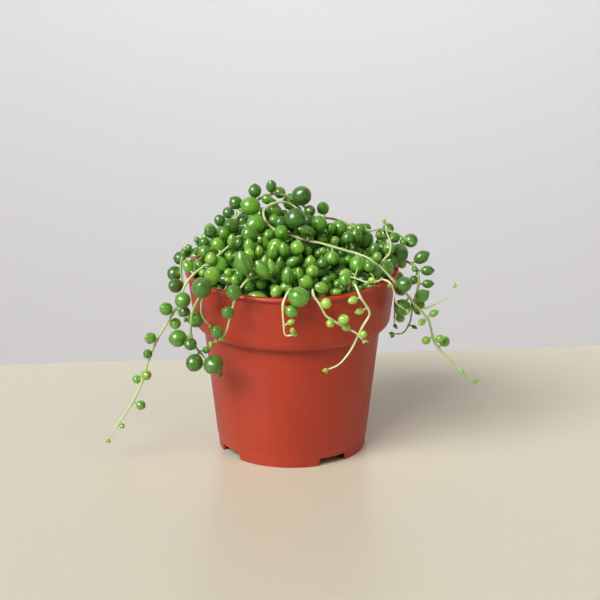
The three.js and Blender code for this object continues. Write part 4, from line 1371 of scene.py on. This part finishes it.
def pearlSkinMaterial():
    material, tree = newMaterial("succulentLeafCuticle")
    place = addNode(tree, "ShaderNodeAttribute", {"attribute_name": "pearlPlace"}).outputs["Vector"]
    tone = addNode(tree, "ShaderNodeAttribute", {"attribute_name": "tone"}).outputs["Fac"]
    shape = addNode(tree, "ShaderNodeAttribute", {"attribute_name": "shape"}).outputs["Fac"]
    x, y, z = addNode(tree, "ShaderNodeSeparateXYZ", links={0: place}).outputs

    # the window is a band down the pearl's own X side that fades out before both ends
    around = addNode(tree, "ShaderNodeMath", {"operation": "ARCTAN2"}, {0: y, 1: x})
    fades = []
    for source, key in ((around, "windowAcross"), (z, "windowAlong")):
        away = addNode(tree, "ShaderNodeMath", {"operation": "ABSOLUTE"}, {0: source})
        full, gone = pearlLook[key]
        settings = {"interpolation_type": "SMOOTHSTEP", 1: full, 2: gone, 3: 1.0, 4: 0.0}
        fades.append(addNode(tree, "ShaderNodeMapRange", settings, {0: away}))
    window = addNode(tree, "ShaderNodeMath", {"operation": "MULTIPLY"}, dict(enumerate(fades)))
    dark = addNode(tree, "ShaderNodeMath", {"operation": "MULTIPLY", 1: pearlLook["windowDark"]}, {0: window})

    # age and painted shade from the pearl's tone, uneven over it
    settings = {"Scale": pearlLook["mottleScale"], "Detail": 3.0}
    mottle = addNode(tree, "ShaderNodeTexNoise", settings, {0: place})
    settings = {"operation": "SUBTRACT", 1: pearlLook["mottle"] / 2}
    least = addNode(tree, "ShaderNodeMath", settings, {0: tone})
    settings = {"operation": "MULTIPLY_ADD", 1: pearlLook["mottle"]}
    shifted = addNode(tree, "ShaderNodeMath", settings, {0: mottle, 2: least})
    ramp = addNode(tree, "ShaderNodeValToRGB", links={0: shifted})
    ramp.color_ramp.elements.new(0.5)
    for stop, at, name in zip(ramp.color_ramp.elements, pearlLook["stops"], ("old", "grown", "new")):
        stop.position = at
        stop.color = hexColour(pearlLook[name])

    lengthwise = addNode(tree, "ShaderNodeMapping", {"Scale": pearlLook["streakScale"]}, {0: place})
    streaks = addNode(tree, "ShaderNodeTexNoise", {"Scale": 1.0, "Detail": 2.0}, {0: lengthwise})
    few, many = pearlLook["mostStreaks"]
    strongest = addNode(tree, "ShaderNodeMapRange", {1: 2.0, 2: 3.0, 3: few, 4: many}, {0: shape})
    streaked = addNode(tree, "ShaderNodeMapRange", {1: 0.52, 2: 0.64, 3: 0.0}, {0: streaks, 4: strongest})

    settings = {"Scale": pearlLook["bloomScale"], "Detail": 4.0, "Roughness": 0.65}
    dusting = addNode(tree, "ShaderNodeTexNoise", settings, {0: place})
    settings = {1: 0.42, 2: 0.66, 3: 0.0, 4: pearlLook["mostBloom"]}
    bloomy = addNode(tree, "ShaderNodeMapRange", settings, {0: dusting})
    settings = {1: 0.25, 2: 0.75, 3: 1.0, 4: pearlLook["bloomNew"]}
    older = addNode(tree, "ShaderNodeMapRange", settings, {0: tone})
    bloom = addNode(tree, "ShaderNodeMath", {"operation": "MULTIPLY"}, {0: bloomy, 1: older})

    stalkEnd = addNode(tree, "ShaderNodeMapRange", {1: -0.82, 2: -1.05, 3: 0.0, 4: 0.7}, {0: z})
    tipEnd = addNode(tree, "ShaderNodeMapRange", {1: 1.08, 2: 1.22, 3: 0.0, 4: 0.45}, {0: z})
    layers = {"streak": streaked, "bloom": bloom, "window": dark, "stalkEnd": stalkEnd, "tip": tipEnd}
    colour = ramp.outputs["Color"]
    for name, share in layers.items():
        settings = {"data_type": "RGBA", 7: hexColour(pearlLook[name])}
        colour = addNode(tree, "ShaderNodeMix", settings, {0: share, 6: colour}).outputs[2]

    rough, smooth = pearlLook["roughness"]
    gloss = addNode(tree, "ShaderNodeMapRange", {1: 0.1, 2: 0.7, 3: rough, 4: smooth}, {0: shifted})
    settings = {"Scale": pearlLook["grainScale"], "Detail": 2.0}
    grain = addNode(tree, "ShaderNodeTexNoise", settings, {0: place})
    settings = {"Strength": 0.12, "Distance": pearlLook["grainDepth"]}
    bump = addNode(tree, "ShaderNodeBump", settings, {"Height": grain})
    surface = addNode(
        tree,
        "ShaderNodeBsdfPrincipled",
        {
            "IOR": 1.43,
            "Subsurface Weight": 0.1,
            "Subsurface Radius": (0.6, 1.0, 0.2),
            "Subsurface Scale": 0.0012,
            "Coat Weight": 0.85,
            "Coat Roughness": 0.3,
        },
        {"Base Color": colour, "Roughness": gloss, "Normal": bump},
    )
    addNode(tree, "ShaderNodeOutputMaterial", links={0: surface})
    return material


# Soft green stem skin, ridged lengthwise and satin, that goes corky and brown where it has dried.
stemLook = {
    "fresh": "#deeeb4",
    "shaded": "#82ae4a",
    "dried": "#7a5230",
    "ridges": 700.0,  # per metre, so 1.4 mm apart
    "roughness": 0.42,
}


def stemSkinMaterial():
    material, tree = newMaterial("succulentStemSkin")
    dry = addNode(tree, "ShaderNodeAttribute", {"attribute_name": "dry"}).outputs["Fac"]
    tone = addNode(tree, "ShaderNodeAttribute", {"attribute_name": "tone"}).outputs["Fac"]
    place = addNode(tree, "ShaderNodeTexCoord").outputs["Object"]
    streaks = addNode(tree, "ShaderNodeTexNoise", {"Scale": stemLook["ridges"], "Detail": 3.0}, {0: place})
    settings = {"operation": "MULTIPLY_ADD", "use_clamp": True, 1: 1.3, 2: -0.25}
    young = addNode(tree, "ShaderNodeMath", settings, {0: tone})
    settings = {"data_type": "RGBA", 6: hexColour(stemLook["shaded"]), 7: hexColour(stemLook["fresh"])}
    green = addNode(tree, "ShaderNodeMix", settings, {0: young})
    uneven = addNode(tree, "ShaderNodeMapRange", {1: 0.35, 2: 0.6, 3: 0.5, 4: 1.3}, {0: streaks})
    settings = {"operation": "MULTIPLY", "use_clamp": True}
    patchy = addNode(tree, "ShaderNodeMath", settings, {0: dry, 1: uneven})
    settings = {"data_type": "RGBA", 7: hexColour(stemLook["dried"])}
    colour = addNode(tree, "ShaderNodeMix", settings, {0: patchy, 6: green.outputs[2]}).outputs[2]
    bump = addNode(tree, "ShaderNodeBump", {"Strength": 0.3, "Distance": 0.0002}, {"Height": streaks})
    surface = addNode(
        tree,
        "ShaderNodeBsdfPrincipled",
        {
            "Roughness": stemLook["roughness"],
            "IOR": 1.42,
            "Subsurface Weight": 0.15,
            "Subsurface Radius": (0.7, 1.0, 0.3),
            "Subsurface Scale": 0.001,
        },
        {"Base Color": colour, "Normal": bump},
    )
    addNode(tree, "ShaderNodeOutputMaterial", links={0: surface})
    return material


# Injection-moulded polypropylene in terracotta red: satin, with a fine spark texture, faint
# flow marks round the wall, and a little dried mud and dust; painted highlights along the rim's
# bead, the foot's step and sharp edges, and painted shade in thin rings under the bead, under the
# collar's ledge and on the foot band.
potLook = {
    "segments": 144,
    "edge": 0.4,  # rounding of the foot's and the rim's small edges
    "bandTop": 6.4,  # the foot band ends here in a fine step
    "sharpAngle": 34,
    "notchCorner": 0.9,
    "cutReach": 6,  # how far a notch's cutter goes in and out
    "drainSides": 24,
    "body": "#b2341a",
    "worn": "#cc5c3c",
    # random stains from the flow marks, and the colour of the painted shade rings below
    "stain": "#93301c",
    "dust": "#c07a5c",
    "flowMarks": 60.0,  # per metre, so 17 mm apart
    "flowStretch": (1.0, 1.0, 0.25),
    "specks": 900.0,  # 1.1 mm apart
    "spark": 2500.0,  # 0.4 mm, coarser than the real texture, which wouldn't show
    "mostStain": 0.35,
    "mostDust": 0.7,
    "mostPaintedHighlight": 0.6,
    "roughness": (0.36, 0.5),
    "lines": [  # height, half width, colour, how strong
        # painted highlight along the foot's fine step, where its edge catches the light
        (6.5, 0.28, "worn", 0.55),
        # painted shade on the foot band under the step
        (2.2, 2.6, "stain", 0.3),
        # painted shade in the crease under the collar's ledge
        (63.2, 0.7, "stain", 0.75),
        # painted shade under the rim's bead
        (89.2, 0.8, "stain", 0.6),
        # painted highlight along the top of the rim's bead
        (91.6, 0.5, "worn", 0.45),
    ],
}


def potMaterial():
    material, tree = newMaterial("mouldedPolypropylene")
    place = addNode(tree, "ShaderNodeTexCoord").outputs["Object"]
    height = addNode(tree, "ShaderNodeSeparateXYZ", links={0: place}).outputs["Z"]
    stretched = addNode(tree, "ShaderNodeMapping", {"Scale": potLook["flowStretch"]}, {0: place})
    settings = {"Scale": potLook["flowMarks"], "Detail": 5.0, "Roughness": 0.6}
    flow = addNode(tree, "ShaderNodeTexNoise", settings, {0: stretched})
    settings = {1: 0.5, 2: 0.75, 3: 0.0, 4: potLook["mostStain"]}
    stains = addNode(tree, "ShaderNodeMapRange", settings, {0: flow})
    specks = addNode(tree, "ShaderNodeTexNoise", {"Scale": potLook["specks"], "Detail": 2.0}, {0: place})
    low = addNode(tree, "ShaderNodeMapRange", {1: 0.003, 2: 0.016, 3: 0.3, 4: 0.05}, {0: height})
    settings = {1: 0.66, 2: 0.78, 3: 0.0, 4: potLook["mostDust"]}
    dusty = addNode(tree, "ShaderNodeMapRange", settings, {0: specks})
    dust = addNode(tree, "ShaderNodeMath", {"operation": "MULTIPLY"}, {0: low, 1: dusty})
    layers = [("stain", stains), ("dust", dust)]
    broken = addNode(tree, "ShaderNodeMapRange", {1: 0.3, 2: 0.6, 3: 0.4, 4: 1.0}, {0: flow})
    for level, half, name, strength in potLook["lines"]:
        apart = addNode(tree, "ShaderNodeMath", {"operation": "SUBTRACT", 1: level * mm}, {0: height})
        near = addNode(tree, "ShaderNodeMath", {"operation": "ABSOLUTE"}, {0: apart})
        settings = {"interpolation_type": "SMOOTHSTEP", 1: 0.0, 2: half * mm, 3: strength, 4: 0.0}
        band = addNode(tree, "ShaderNodeMapRange", settings, {0: near})
        share = addNode(tree, "ShaderNodeMath", {"operation": "MULTIPLY"}, {0: band, 1: broken})
        layers.append((name, share))
    # painted highlight: lighter on the sharpest convex edges, where they catch the light
    edges = addNode(tree, "ShaderNodeNewGeometry").outputs["Pointiness"]
    settings = {1: 0.53, 2: 0.6, 3: 0.0, 4: potLook["mostPaintedHighlight"]}
    layers.append(("worn", addNode(tree, "ShaderNodeMapRange", settings, {0: edges})))
    links = {}
    for name, share in layers:
        settings = {"data_type": "RGBA", 6: hexColour(potLook["body"]), 7: hexColour(potLook[name])}
        painted = addNode(tree, "ShaderNodeMix", settings, {0: share, **links})
        links = {6: painted.outputs[2]}
    smooth, rough = potLook["roughness"]
    gloss = addNode(tree, "ShaderNodeMapRange", {1: 0.3, 2: 0.7, 3: smooth, 4: rough}, {0: flow})
    spark = addNode(tree, "ShaderNodeTexNoise", {"Scale": potLook["spark"], "Detail": 1.0}, {0: place})
    bump = addNode(tree, "ShaderNodeBump", {"Strength": 0.08, "Distance": 0.0002}, {"Height": spark})
    surface = addNode(
        tree,
        "ShaderNodeBsdfPrincipled",
        {"IOR": 1.49},
        {"Base Color": painted.outputs[2], "Roughness": gloss, "Normal": bump},
    )
    addNode(tree, "ShaderNodeOutputMaterial", links={0: surface})
    return material


def arc(middle, radius, first, last, steps):
    turns = [math.radians(first + (last - first) * i / steps) for i in range(steps + 1)]
    return [(middle[0] + radius * math.cos(t), middle[1] + radius * math.sin(t)) for t in turns]


# The pot is turned from one closed section, and its notches and drain holes are cut out.
def potSection():
    # radius and height: up the outside, over the rim, down the inside and back under the floor
    height, rim, bead, wall = pot["height"], pot["rimRadius"], pot["beadHeight"], pot["wall"]
    footR, under, edge = pot["footRadius"], pot["floorUnder"], potLook["edge"]
    lowR, lowZ = pot["bodyFoot"]
    bodyR, bodyZ = pot["bodyTop"]
    ledgeR, ledgeZ = pot["collarFoot"]
    collarTop = rim - pot["beadOut"]
    band = potLook["bandTop"]
    bandR = footR + (lowR - pot["footStep"] - footR) * band / lowZ
    section = [(footR - wall + 0.3, 0), *arc((footR - edge, edge), edge, -75, 0, 4)]
    section += [(bandR, band - 0.3), (bandR + 0.1, band), (lowR - 0.12, band + 0.35)]
    section += [(lowR, lowZ), (bodyR, bodyZ)]
    underR = bodyR + pot["ledge"]
    steps = 8
    for i in range(steps + 1):
        t = math.pi / 2 * i / steps
        out = (ledgeR - underR) * math.sin(t)
        section.append((underR + out, bodyZ + (ledgeZ - bodyZ) * (1 - math.cos(t))))
    section += [(collarTop - 0.07, height - bead - 1.2), (collarTop + 0.02, height - bead - 0.4)]
    section += [(collarTop + 0.3, height - bead - 0.05)]
    section += arc((rim - bead / 2, height - bead / 2), bead / 2, -50, 90, 9)
    section += arc((collarTop - wall + edge, height - edge), edge, 90, 180, 4)
    section += [(ledgeR - wall, ledgeZ), (bodyR - wall, bodyZ), (lowR - wall, under + wall + 1.2)]
    section += [(lowR - wall - 1.2, under + wall), (0, under + wall), (0, under)]
    section += [(footR - wall - 0.8, under), (footR - wall, under - 0.8), (footR - wall, 0.3)]
    return section


def turnedMesh(name, section, segments, materials):
    # points on the axis are single, so both poles are closed
    points, rings, faces = [], [], []
    for r, z in section:
        count = segments if r > 0 else 1
        first = len(points)
        turns = [2 * math.pi * k / segments for k in range(count)]
        points += [(r * math.cos(t), r * math.sin(t), z) for t in turns]
        rings.append([first + k % count for k in range(segments)])
    for low, high in zip(rings, rings[1:] + rings[:1]):
        for k in range(segments):
            m = (k + 1) % segments
            corners = list(dict.fromkeys((low[k], low[m], high[m], high[k])))
            if len(corners) > 2:
                faces.append(corners)
    return meshObject(name, points, [], faces, materials)


def potCutter():
    # blocks for the notches and rods for the drain holes
    mesh = bmesh.new()
    turnAt = [pot["notchFirst"] + i * 360 / pot["notches"] for i in range(pot["notches"])]
    half = pot["footRadius"] * math.sin(math.radians(pot["notchAngle"] / 2))
    low = half + pot["notchSlope"] * 1.25
    top = pot["notchHeight"]
    corner = potLook["notchCorner"]
    outline = [(-low, -1), (low, -1)]
    outline += [(y + half - corner, z) for y, z in arc((0, top - corner), corner, 5, 90, 3)]
    outline += [(y - half + corner, z) for y, z in arc((0, top - corner), corner, 90, 175, 3)]
    for degrees in turnAt:
        turn = Matrix.Rotation(math.radians(degrees), 3, "Z")
        ends = []
        for x in (pot["footRadius"] - potLook["cutReach"], pot["footRadius"] + potLook["cutReach"]):
            ends.append([mesh.verts.new(turn @ Vector((x, y, z)) * mm) for y, z in outline])
        mesh.faces.new(reversed(ends[0]))
        mesh.faces.new(ends[1])
        for i in range(len(outline)):
            j = (i + 1) % len(outline)
            mesh.faces.new((ends[0][i], ends[0][j], ends[1][j], ends[1][i]))
    drains = [(0, 0)]
    for i in range(pot["drainHoles"]):
        turn = pot["notchFirst"] + (i + 0.25) * 360 / pot["drainHoles"]
        drains.append(onRing(pot["drainRing"], turn, 0)[:2])
    for x, y in drains:
        place = Matrix.Translation(Vector((x, y, pot["floorUnder"] + pot["wall"] / 2)) * mm)
        bmesh.ops.create_cone(
            mesh,
            cap_ends=True,
            segments=potLook["drainSides"],
            radius1=pot["drainRadius"] * mm,
            radius2=pot["drainRadius"] * mm,
            depth=pot["wall"] * 3 * mm,
            matrix=place,
        )
    bmesh.ops.recalc_face_normals(mesh, faces=mesh.faces)
    cutter = meshObject("potCutter", [], [], [])
    mesh.to_mesh(cutter.data)
    mesh.free()
    return cutter


def makePot():
    obj = turnedMesh("mouldedPot", potSection(), potLook["segments"], [potMaterial()])
    cutter = potCutter()
    cut = obj.modifiers.new("notches", "BOOLEAN")
    cut.operation = "DIFFERENCE"
    cut.solver = "EXACT"
    cut.object = cutter
    bakeModifiers(obj)
    bpy.data.objects.remove(cutter)
    obj.data.shade_smooth()
    obj.data.set_sharp_from_angle(angle=math.radians(potLook["sharpAngle"]))
    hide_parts("pot")
    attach(obj, "root")
    print("pot:", len(obj.data.polygons), "faces")
    return obj


makePot()

# The potting mix: a crumbly top on a closed plug that fills the pot.
mixLook = {
    "clearance": 0.25,
    "segments": 96,
    "rings": 26,
    "corner": 1.2,  # of the plug's foot
    "edge": 1.5,  # how far the plug's side ends below its top
    "rough": 0.55,  # height of the top's lumps
    "lump": 3.2,  # their size
    "fractal": (0.9, 2.1, 4),  # their fineness, the step between octaves, and how many of these
    "slice": 7,  # height in the noise at which the top is cut
    "crumbs": 2600,
    "crumbSize": (0.35, 1.25),
    "perliteGrains": 150,
    "perliteSize": (0.6, 1.6),
    "seed": 5,
    "grain": 420.0,  # per metre, so 2.4 mm crumbs
    "pits": 900.0,  # 1.1 mm, coarser than the real ones, which wouldn't show
    "peat": "#2a1c13",
    "fibre": "#6b4a2e",
    "perlite": "#e9e4d8",
    "perlitePits": "#a99f8e",
}


# Damp peat-based potting mix: matt, dark brown, with paler fibres.
def pottingMixMaterial():
    material, tree = newMaterial("peatPottingMix")
    place = addNode(tree, "ShaderNodeTexCoord").outputs["Object"]
    settings = {"Scale": mixLook["grain"], "Detail": 6.0, "Roughness": 0.7}
    crumbs = addNode(tree, "ShaderNodeTexNoise", settings, {0: place})
    share = addNode(tree, "ShaderNodeMapRange", {1: 0.5, 2: 0.72, 3: 0.0, 4: 1.0}, {0: crumbs})
    settings = {"data_type": "RGBA", 6: hexColour(mixLook["peat"]), 7: hexColour(mixLook["fibre"])}
    colour = addNode(tree, "ShaderNodeMix", settings, {0: share}).outputs[2]
    bump = addNode(tree, "ShaderNodeBump", {"Strength": 0.8, "Distance": 0.0008}, {"Height": crumbs})
    links = {"Base Color": colour, "Normal": bump}
    surface = addNode(tree, "ShaderNodeBsdfPrincipled", {"Roughness": 0.93}, links)
    addNode(tree, "ShaderNodeOutputMaterial", links={0: surface})
    return material


# Expanded perlite: white, matt and pitted volcanic glass.
def perliteMaterial():
    material, tree = newMaterial("expandedPerlite")
    place = addNode(tree, "ShaderNodeTexCoord").outputs["Object"]
    pits = addNode(tree, "ShaderNodeTexNoise", {"Scale": mixLook["pits"], "Detail": 4.0}, {0: place})
    settings = {"data_type": "RGBA", 6: hexColour(mixLook["perlitePits"]), 7: hexColour(mixLook["perlite"])}
    colour = addNode(tree, "ShaderNodeMix", settings, {0: pits}).outputs[2]
    surface = addNode(tree, "ShaderNodeBsdfPrincipled", {"Roughness": 0.85}, {"Base Color": colour})
    addNode(tree, "ShaderNodeOutputMaterial", links={0: surface})
    return material


def mixHeight(x, y):
    rough = noise.fractal(Vector((x, y, mixLook["slice"])) / mixLook["lump"], *mixLook["fractal"])
    return float(soilTop(x, y)) + mixLook["rough"] * rough


def mixPlug(materials):
    gap = mixLook["clearance"]
    inside = pot["wall"] + gap
    bottom = pot["floorUnder"] + pot["wall"] + gap
    edgeR = float(outerRadius(soil["edgeTop"])) - inside
    lowR = pot["bodyFoot"][0] - inside
    section = [(0, bottom), (lowR - mixLook["corner"], bottom), (lowR, bottom + mixLook["corner"])]
    section += [(pot[key][0] - inside, pot[key][1]) for key in ("bodyTop", "collarFoot")]
    section += [(edgeR, soil["edgeTop"] - mixLook["edge"])]
    top = len(section)
    rings = mixLook["rings"]
    section += [(edgeR * (1 - i / rings), soil["edgeTop"]) for i in range(rings + 1)]
    obj = turnedMesh("pottingMix", section, mixLook["segments"], materials)
    first = sum(mixLook["segments"] if r > 0 else 1 for r, _ in section[:top])
    for vertex in obj.data.vertices[first:]:
        x, y = vertex.co.x / mm, vertex.co.y / mm
        vertex.co.z = mixHeight(x, y) * mm
    return obj


def buildScatterTree():
    # crumbs of mix and grains of perlite, bedded in the faces that look up
    grainKinds = ("Crumb", "Perlite")
    inputs = [("Seed", "Int")]
    for kind in grainKinds:
        inputs += [(f"{kind} {size}", "Float") for size in ("density", "smallest", "largest")]
        inputs += [(f"{kind} material", "Material")]
    tree, given = newTree("mixScatter", inputs)
    facing = addNode(tree, "ShaderNodeSeparateXYZ", links={0: addNode(tree, "GeometryNodeInputNormal")})
    place = addNode(tree, "ShaderNodeSeparateXYZ", links={0: addNode(tree, "GeometryNodeInputPosition")})
    onTop = addNode(tree, "FunctionNodeCompare", {"data_type": "FLOAT", 1: 0.5}, {0: facing.outputs["Z"]})
    high = addNode(tree, "FunctionNodeCompare", {"data_type": "FLOAT", 1: 0.05}, {0: place.outputs["Z"]})
    top = addNode(tree, "FunctionNodeBooleanMath", {"operation": "AND"}, {0: onTop, 1: high})
    joined = addNode(tree, "GeometryNodeJoinGeometry")
    for n, kind in enumerate(grainKinds):
        seed = addNode(tree, "ShaderNodeMath", {"operation": "ADD", 1: 10.0 * n}, {0: given["Seed"]})
        spots = addNode(
            tree,
            "GeometryNodeDistributePointsOnFaces",
            {},
            {"Mesh": given["Geometry"], "Selection": top, "Density": given[f"{kind} density"], "Seed": seed},
        )
        ball = addNode(tree, "GeometryNodeMeshIcoSphere", {"Radius": 1.0, "Subdivisions": 1 + n})
        where = addNode(tree, "GeometryNodeInputPosition")
        dents = addNode(tree, "ShaderNodeTexNoise", {"Scale": 1.3, "Detail": 1.0}, {0: where})
        settings = {"operation": "SUBTRACT", 1: (0.5, 0.5, 0.5)}
        squeeze = addNode(tree, "ShaderNodeVectorMath", settings, {0: dents.outputs["Color"]})
        offset = addNode(tree, "ShaderNodeVectorMath", {"operation": "SCALE", "Scale": 1.3}, {0: squeeze})
        lumpy = addNode(tree, "GeometryNodeSetPosition", links={"Geometry": ball, "Offset": offset})
        turns = addNode(
            tree,
            "FunctionNodeRandomValue",
            {"data_type": "FLOAT_VECTOR", 0: (0.0, 0.0, 0.0), 1: (6.28, 6.28, 6.28)},
            {"Seed": seed},
        )
        sizes = addNode(
            tree,
            "FunctionNodeRandomValue",
            {"data_type": "FLOAT"},
            {2: given[f"{kind} smallest"], 3: given[f"{kind} largest"], "Seed": seed},
        )
        grains = addNode(
            tree,
            "GeometryNodeInstanceOnPoints",
            {},
            {"Points": spots, "Instance": lumpy, "Rotation": turns, "Scale": sizes.outputs[1]},
        )
        flat = addNode(tree, "GeometryNodeRealizeInstances", links={"Geometry": grains})
        coated = addNode(
            tree, "GeometryNodeSetMaterial", links={"Geometry": flat, "Material": given[f"{kind} material"]}
        )
        tree.links.new(coated.outputs[0], joined.inputs[0])
    tree.links.new(given["Geometry"], joined.inputs[0])
    addNode(tree, "NodeGroupOutput", links={0: joined})
    return tree


def makeMix():
    mixed, white = pottingMixMaterial(), perliteMaterial()
    obj = mixPlug([mixed])
    scatter = obj.modifiers.new("scatter", "NODES")
    scatter.node_group = buildScatterTree()
    edge = float(outerRadius(soil["edgeTop"])) * mm
    area = math.pi * edge * edge
    setInputs(
        scatter,
        {
            "Seed": mixLook["seed"],
            "Crumb density": mixLook["crumbs"] / area,
            "Crumb smallest": mixLook["crumbSize"][0] * mm,
            "Crumb largest": mixLook["crumbSize"][1] * mm,
            "Crumb material": mixed,
            "Perlite density": mixLook["perliteGrains"] / area,
            "Perlite smallest": mixLook["perliteSize"][0] * mm,
            "Perlite largest": mixLook["perliteSize"][1] * mm,
            "Perlite material": white,
        },
    )
    bakeModifiers(obj)
    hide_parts("soil")
    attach(obj, "root")
    print("potting mix:", len(obj.data.polygons), "faces")


makeMix()


def camelName(name):
    first, *rest = name.split("_")
    return first + "".join(word.capitalize() for word in rest)


def makeStrands():
    tree = buildStrandTree()
    inputs = {
        "Stem sides": skin["stemSides"],
        "Pearl segments": skin["pearlSegments"],
        "Pearl rings": skin["pearlRings"],
        "Pearl skin": pearlSkinMaterial(),
        "Stem skin": stemSkinMaterial(),
    }
    for name, shape in pearlShapes.items():
        for part, value in shape.items():
            inputs[f"{name} {part}"] = value
    faces, furthest = 0, (0, "")
    for strand in strands:
        obj = skeletonObject(camelName(strand["name"]), *strandSkeleton(strand))
        modifier = obj.modifiers.new("skin", "NODES")
        modifier.node_group = tree
        setInputs(modifier, inputs)
        bakeModifiers(obj)
        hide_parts(strand["name"])
        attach(obj, "root")
        faces += len(obj.data.polygons)
        low, high = (np.array(corner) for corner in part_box(strand["name"]))
        corners = np.array([v.co for v in obj.data.vertices])
        beyond = max(np.max(corners.max(axis=0) - high), np.max(low - corners.min(axis=0)))
        furthest = max(furthest, (float(beyond), strand["name"]))
    print("stems:", faces, "faces; furthest past its solid:", furthest)


makeStrands()

# The table, the wall behind it and the lights.
stage = {
    "edgeLeft": (-700, 61),  # the table's far edge, from left to right
    "edgeRight": (700, 197),
    "near": -1500,
    "thick": 24,
    "wallAt": 1600,
    "wallHalf": 2600,
    "wallBottom": -1300,
    "wallTop": 2600,
    "tableClouds": 2.5,  # per metre, so 400 mm apart
    "tableGrain": 600.0,  # 1.7 mm
    "wallGrain": 300.0,  # 3.3 mm, as a roller leaves it
    "tableColours": ("#cac6b3", "#cfcdbd"),
    # the lower colour is darker: painted shade towards the table
    "wallShadeColours": ("#dadadf", "#e3e4ea"),  # low, high
}


def tableMaterial():
    # satin laminate, cast in one pale beige: even, with a very fine grain and a faint reflection
    material, tree = newMaterial("satinLaminate")
    place = addNode(tree, "ShaderNodeTexCoord").outputs["Object"]
    cloud = addNode(tree, "ShaderNodeTexNoise", {"Scale": stage["tableClouds"], "Detail": 3.0}, {0: place})
    one, other = (hexColour(code) for code in stage["tableColours"])
    colour = addNode(tree, "ShaderNodeMix", {"data_type": "RGBA", 6: one, 7: other}, {0: cloud}).outputs[2]
    grain = addNode(tree, "ShaderNodeTexNoise", {"Scale": stage["tableGrain"], "Detail": 2.0}, {0: place})
    bump = addNode(tree, "ShaderNodeBump", {"Strength": 0.04, "Distance": 0.0002}, {"Height": grain})
    links = {"Base Color": colour, "Normal": bump}
    surface = addNode(tree, "ShaderNodeBsdfPrincipled", {"Roughness": 0.3, "IOR": 1.45}, links)
    addNode(tree, "ShaderNodeOutputMaterial", links={0: surface})
    return material


def wallMaterial():
    # matt emulsion paint on plaster, with painted shade that makes it a little darker lower down, and a fine
    # roller grain
    material, tree = newMaterial("mattEmulsion")
    place = addNode(tree, "ShaderNodeTexCoord").outputs["Object"]
    height = addNode(tree, "ShaderNodeSeparateXYZ", links={0: place}).outputs["Z"]
    up = addNode(tree, "ShaderNodeMapRange", {1: -0.6, 2: -0.05, 3: 0.0, 4: 1.0}, {0: height})
    low, high = (hexColour(code) for code in stage["wallShadeColours"])
    colour = addNode(tree, "ShaderNodeMix", {"data_type": "RGBA", 6: low, 7: high}, {0: up}).outputs[2]
    grain = addNode(tree, "ShaderNodeTexNoise", {"Scale": stage["wallGrain"], "Detail": 2.0}, {0: place})
    bump = addNode(tree, "ShaderNodeBump", {"Strength": 0.05, "Distance": 0.0005}, {"Height": grain})
    links = {"Base Color": colour, "Normal": bump}
    surface = addNode(tree, "ShaderNodeBsdfPrincipled", {"Roughness": 0.9}, links)
    addNode(tree, "ShaderNodeOutputMaterial", links={0: surface})
    return material


def makeStage():
    corners = [
        (stage["edgeLeft"][0], stage["near"]),
        (stage["edgeRight"][0], stage["near"]),
        stage["edgeRight"],
        stage["edgeLeft"],
    ]
    points = [(x, y, z) for z in (-stage["thick"], 0) for x, y in corners]
    sides = [(i, (i + 1) % 4, (i + 1) % 4 + 4, i + 4) for i in range(4)]
    table = meshObject("tableTop", points, [], [(3, 2, 1, 0), (4, 5, 6, 7), *sides], [tableMaterial()])
    half, at = stage["wallHalf"], stage["wallAt"]
    points = [(-half, at, stage["wallBottom"]), (half, at, stage["wallBottom"])]
    points += [(half, at, stage["wallTop"]), (-half, at, stage["wallTop"])]
    wall = meshObject("paintedWall", points, [], [(0, 1, 2, 3)], [wallMaterial()])


makeStage()

light = {
    # name, where it shines from, power, colour, spread in degrees, and whether matt and glossy
    # surfaces show it
    "soft": [
        ("keyWindow", (-0.64, -0.46, 0.61), 2.16, "#fffdf9", 26, True, True),
        ("keyWindowPane", (-0.66, -0.48, 0.58), 3.6, "#fffdf9", 24, False, True),
        ("windowFrontEdge", (-0.30, -0.66, 0.69), 1.2, "#fffdf9", 20, True, False),
        ("windowTop", (-0.22, -0.50, 0.84), 0.4, "#fffdf9", 20, True, False),
        ("rightBounce", (0.60, -0.45, 0.66), 0.68, "#ffdcb4", 60, True, False),
    ],
    "wallPlace": (0, 1.0, 0.35),  # in metres, of a lamp that faces the wall and lights nothing else
    "wallPower": 2.0,
    "wallSize": 0.8,  # in metres
    "skyColour": "#eef2fb",
    "skyPower": 0.1,
}


def makeLights():
    scene = bpy.context.scene
    scene.view_settings.view_transform = "Standard"
    lamps = []
    for name, place, power, colour, spread, inMatt, inGloss in light["soft"]:
        sun = bpy.data.lights.new(name, "SUN")
        sun.energy = power
        sun.angle = math.radians(spread)
        sun.color = hexColour(colour)[:3]
        lamp = bpy.data.objects.new(name, sun)
        lamp.rotation_euler = Vector(place).to_track_quat("Z", "Y").to_euler()
        lamp.visible_diffuse = inMatt
        lamp.visible_glossy = inGloss
        lamps.append(lamp)
    wash = bpy.data.lights.new("wallWash", "AREA")
    wash.energy = light["wallPower"]
    wash.size = light["wallSize"]
    lamp = bpy.data.objects.new("wallWash", wash)
    lamp.location = light["wallPlace"]
    lamp.rotation_euler = Vector((0, -1, 0)).to_track_quat("Z", "Y").to_euler()
    lamp.visible_camera = False
    lamp.visible_glossy = False
    lamps.append(lamp)
    for lamp in lamps:
        scene.collection.objects.link(lamp)
    world = bpy.data.worlds.new("room")
    scene.world = world
    world.use_nodes = True
    sky = world.node_tree.nodes["Background"]
    sky.inputs["Color"].default_value = hexColour(light["skyColour"])
    sky.inputs["Strength"].default_value = light["skyPower"]


makeLights()
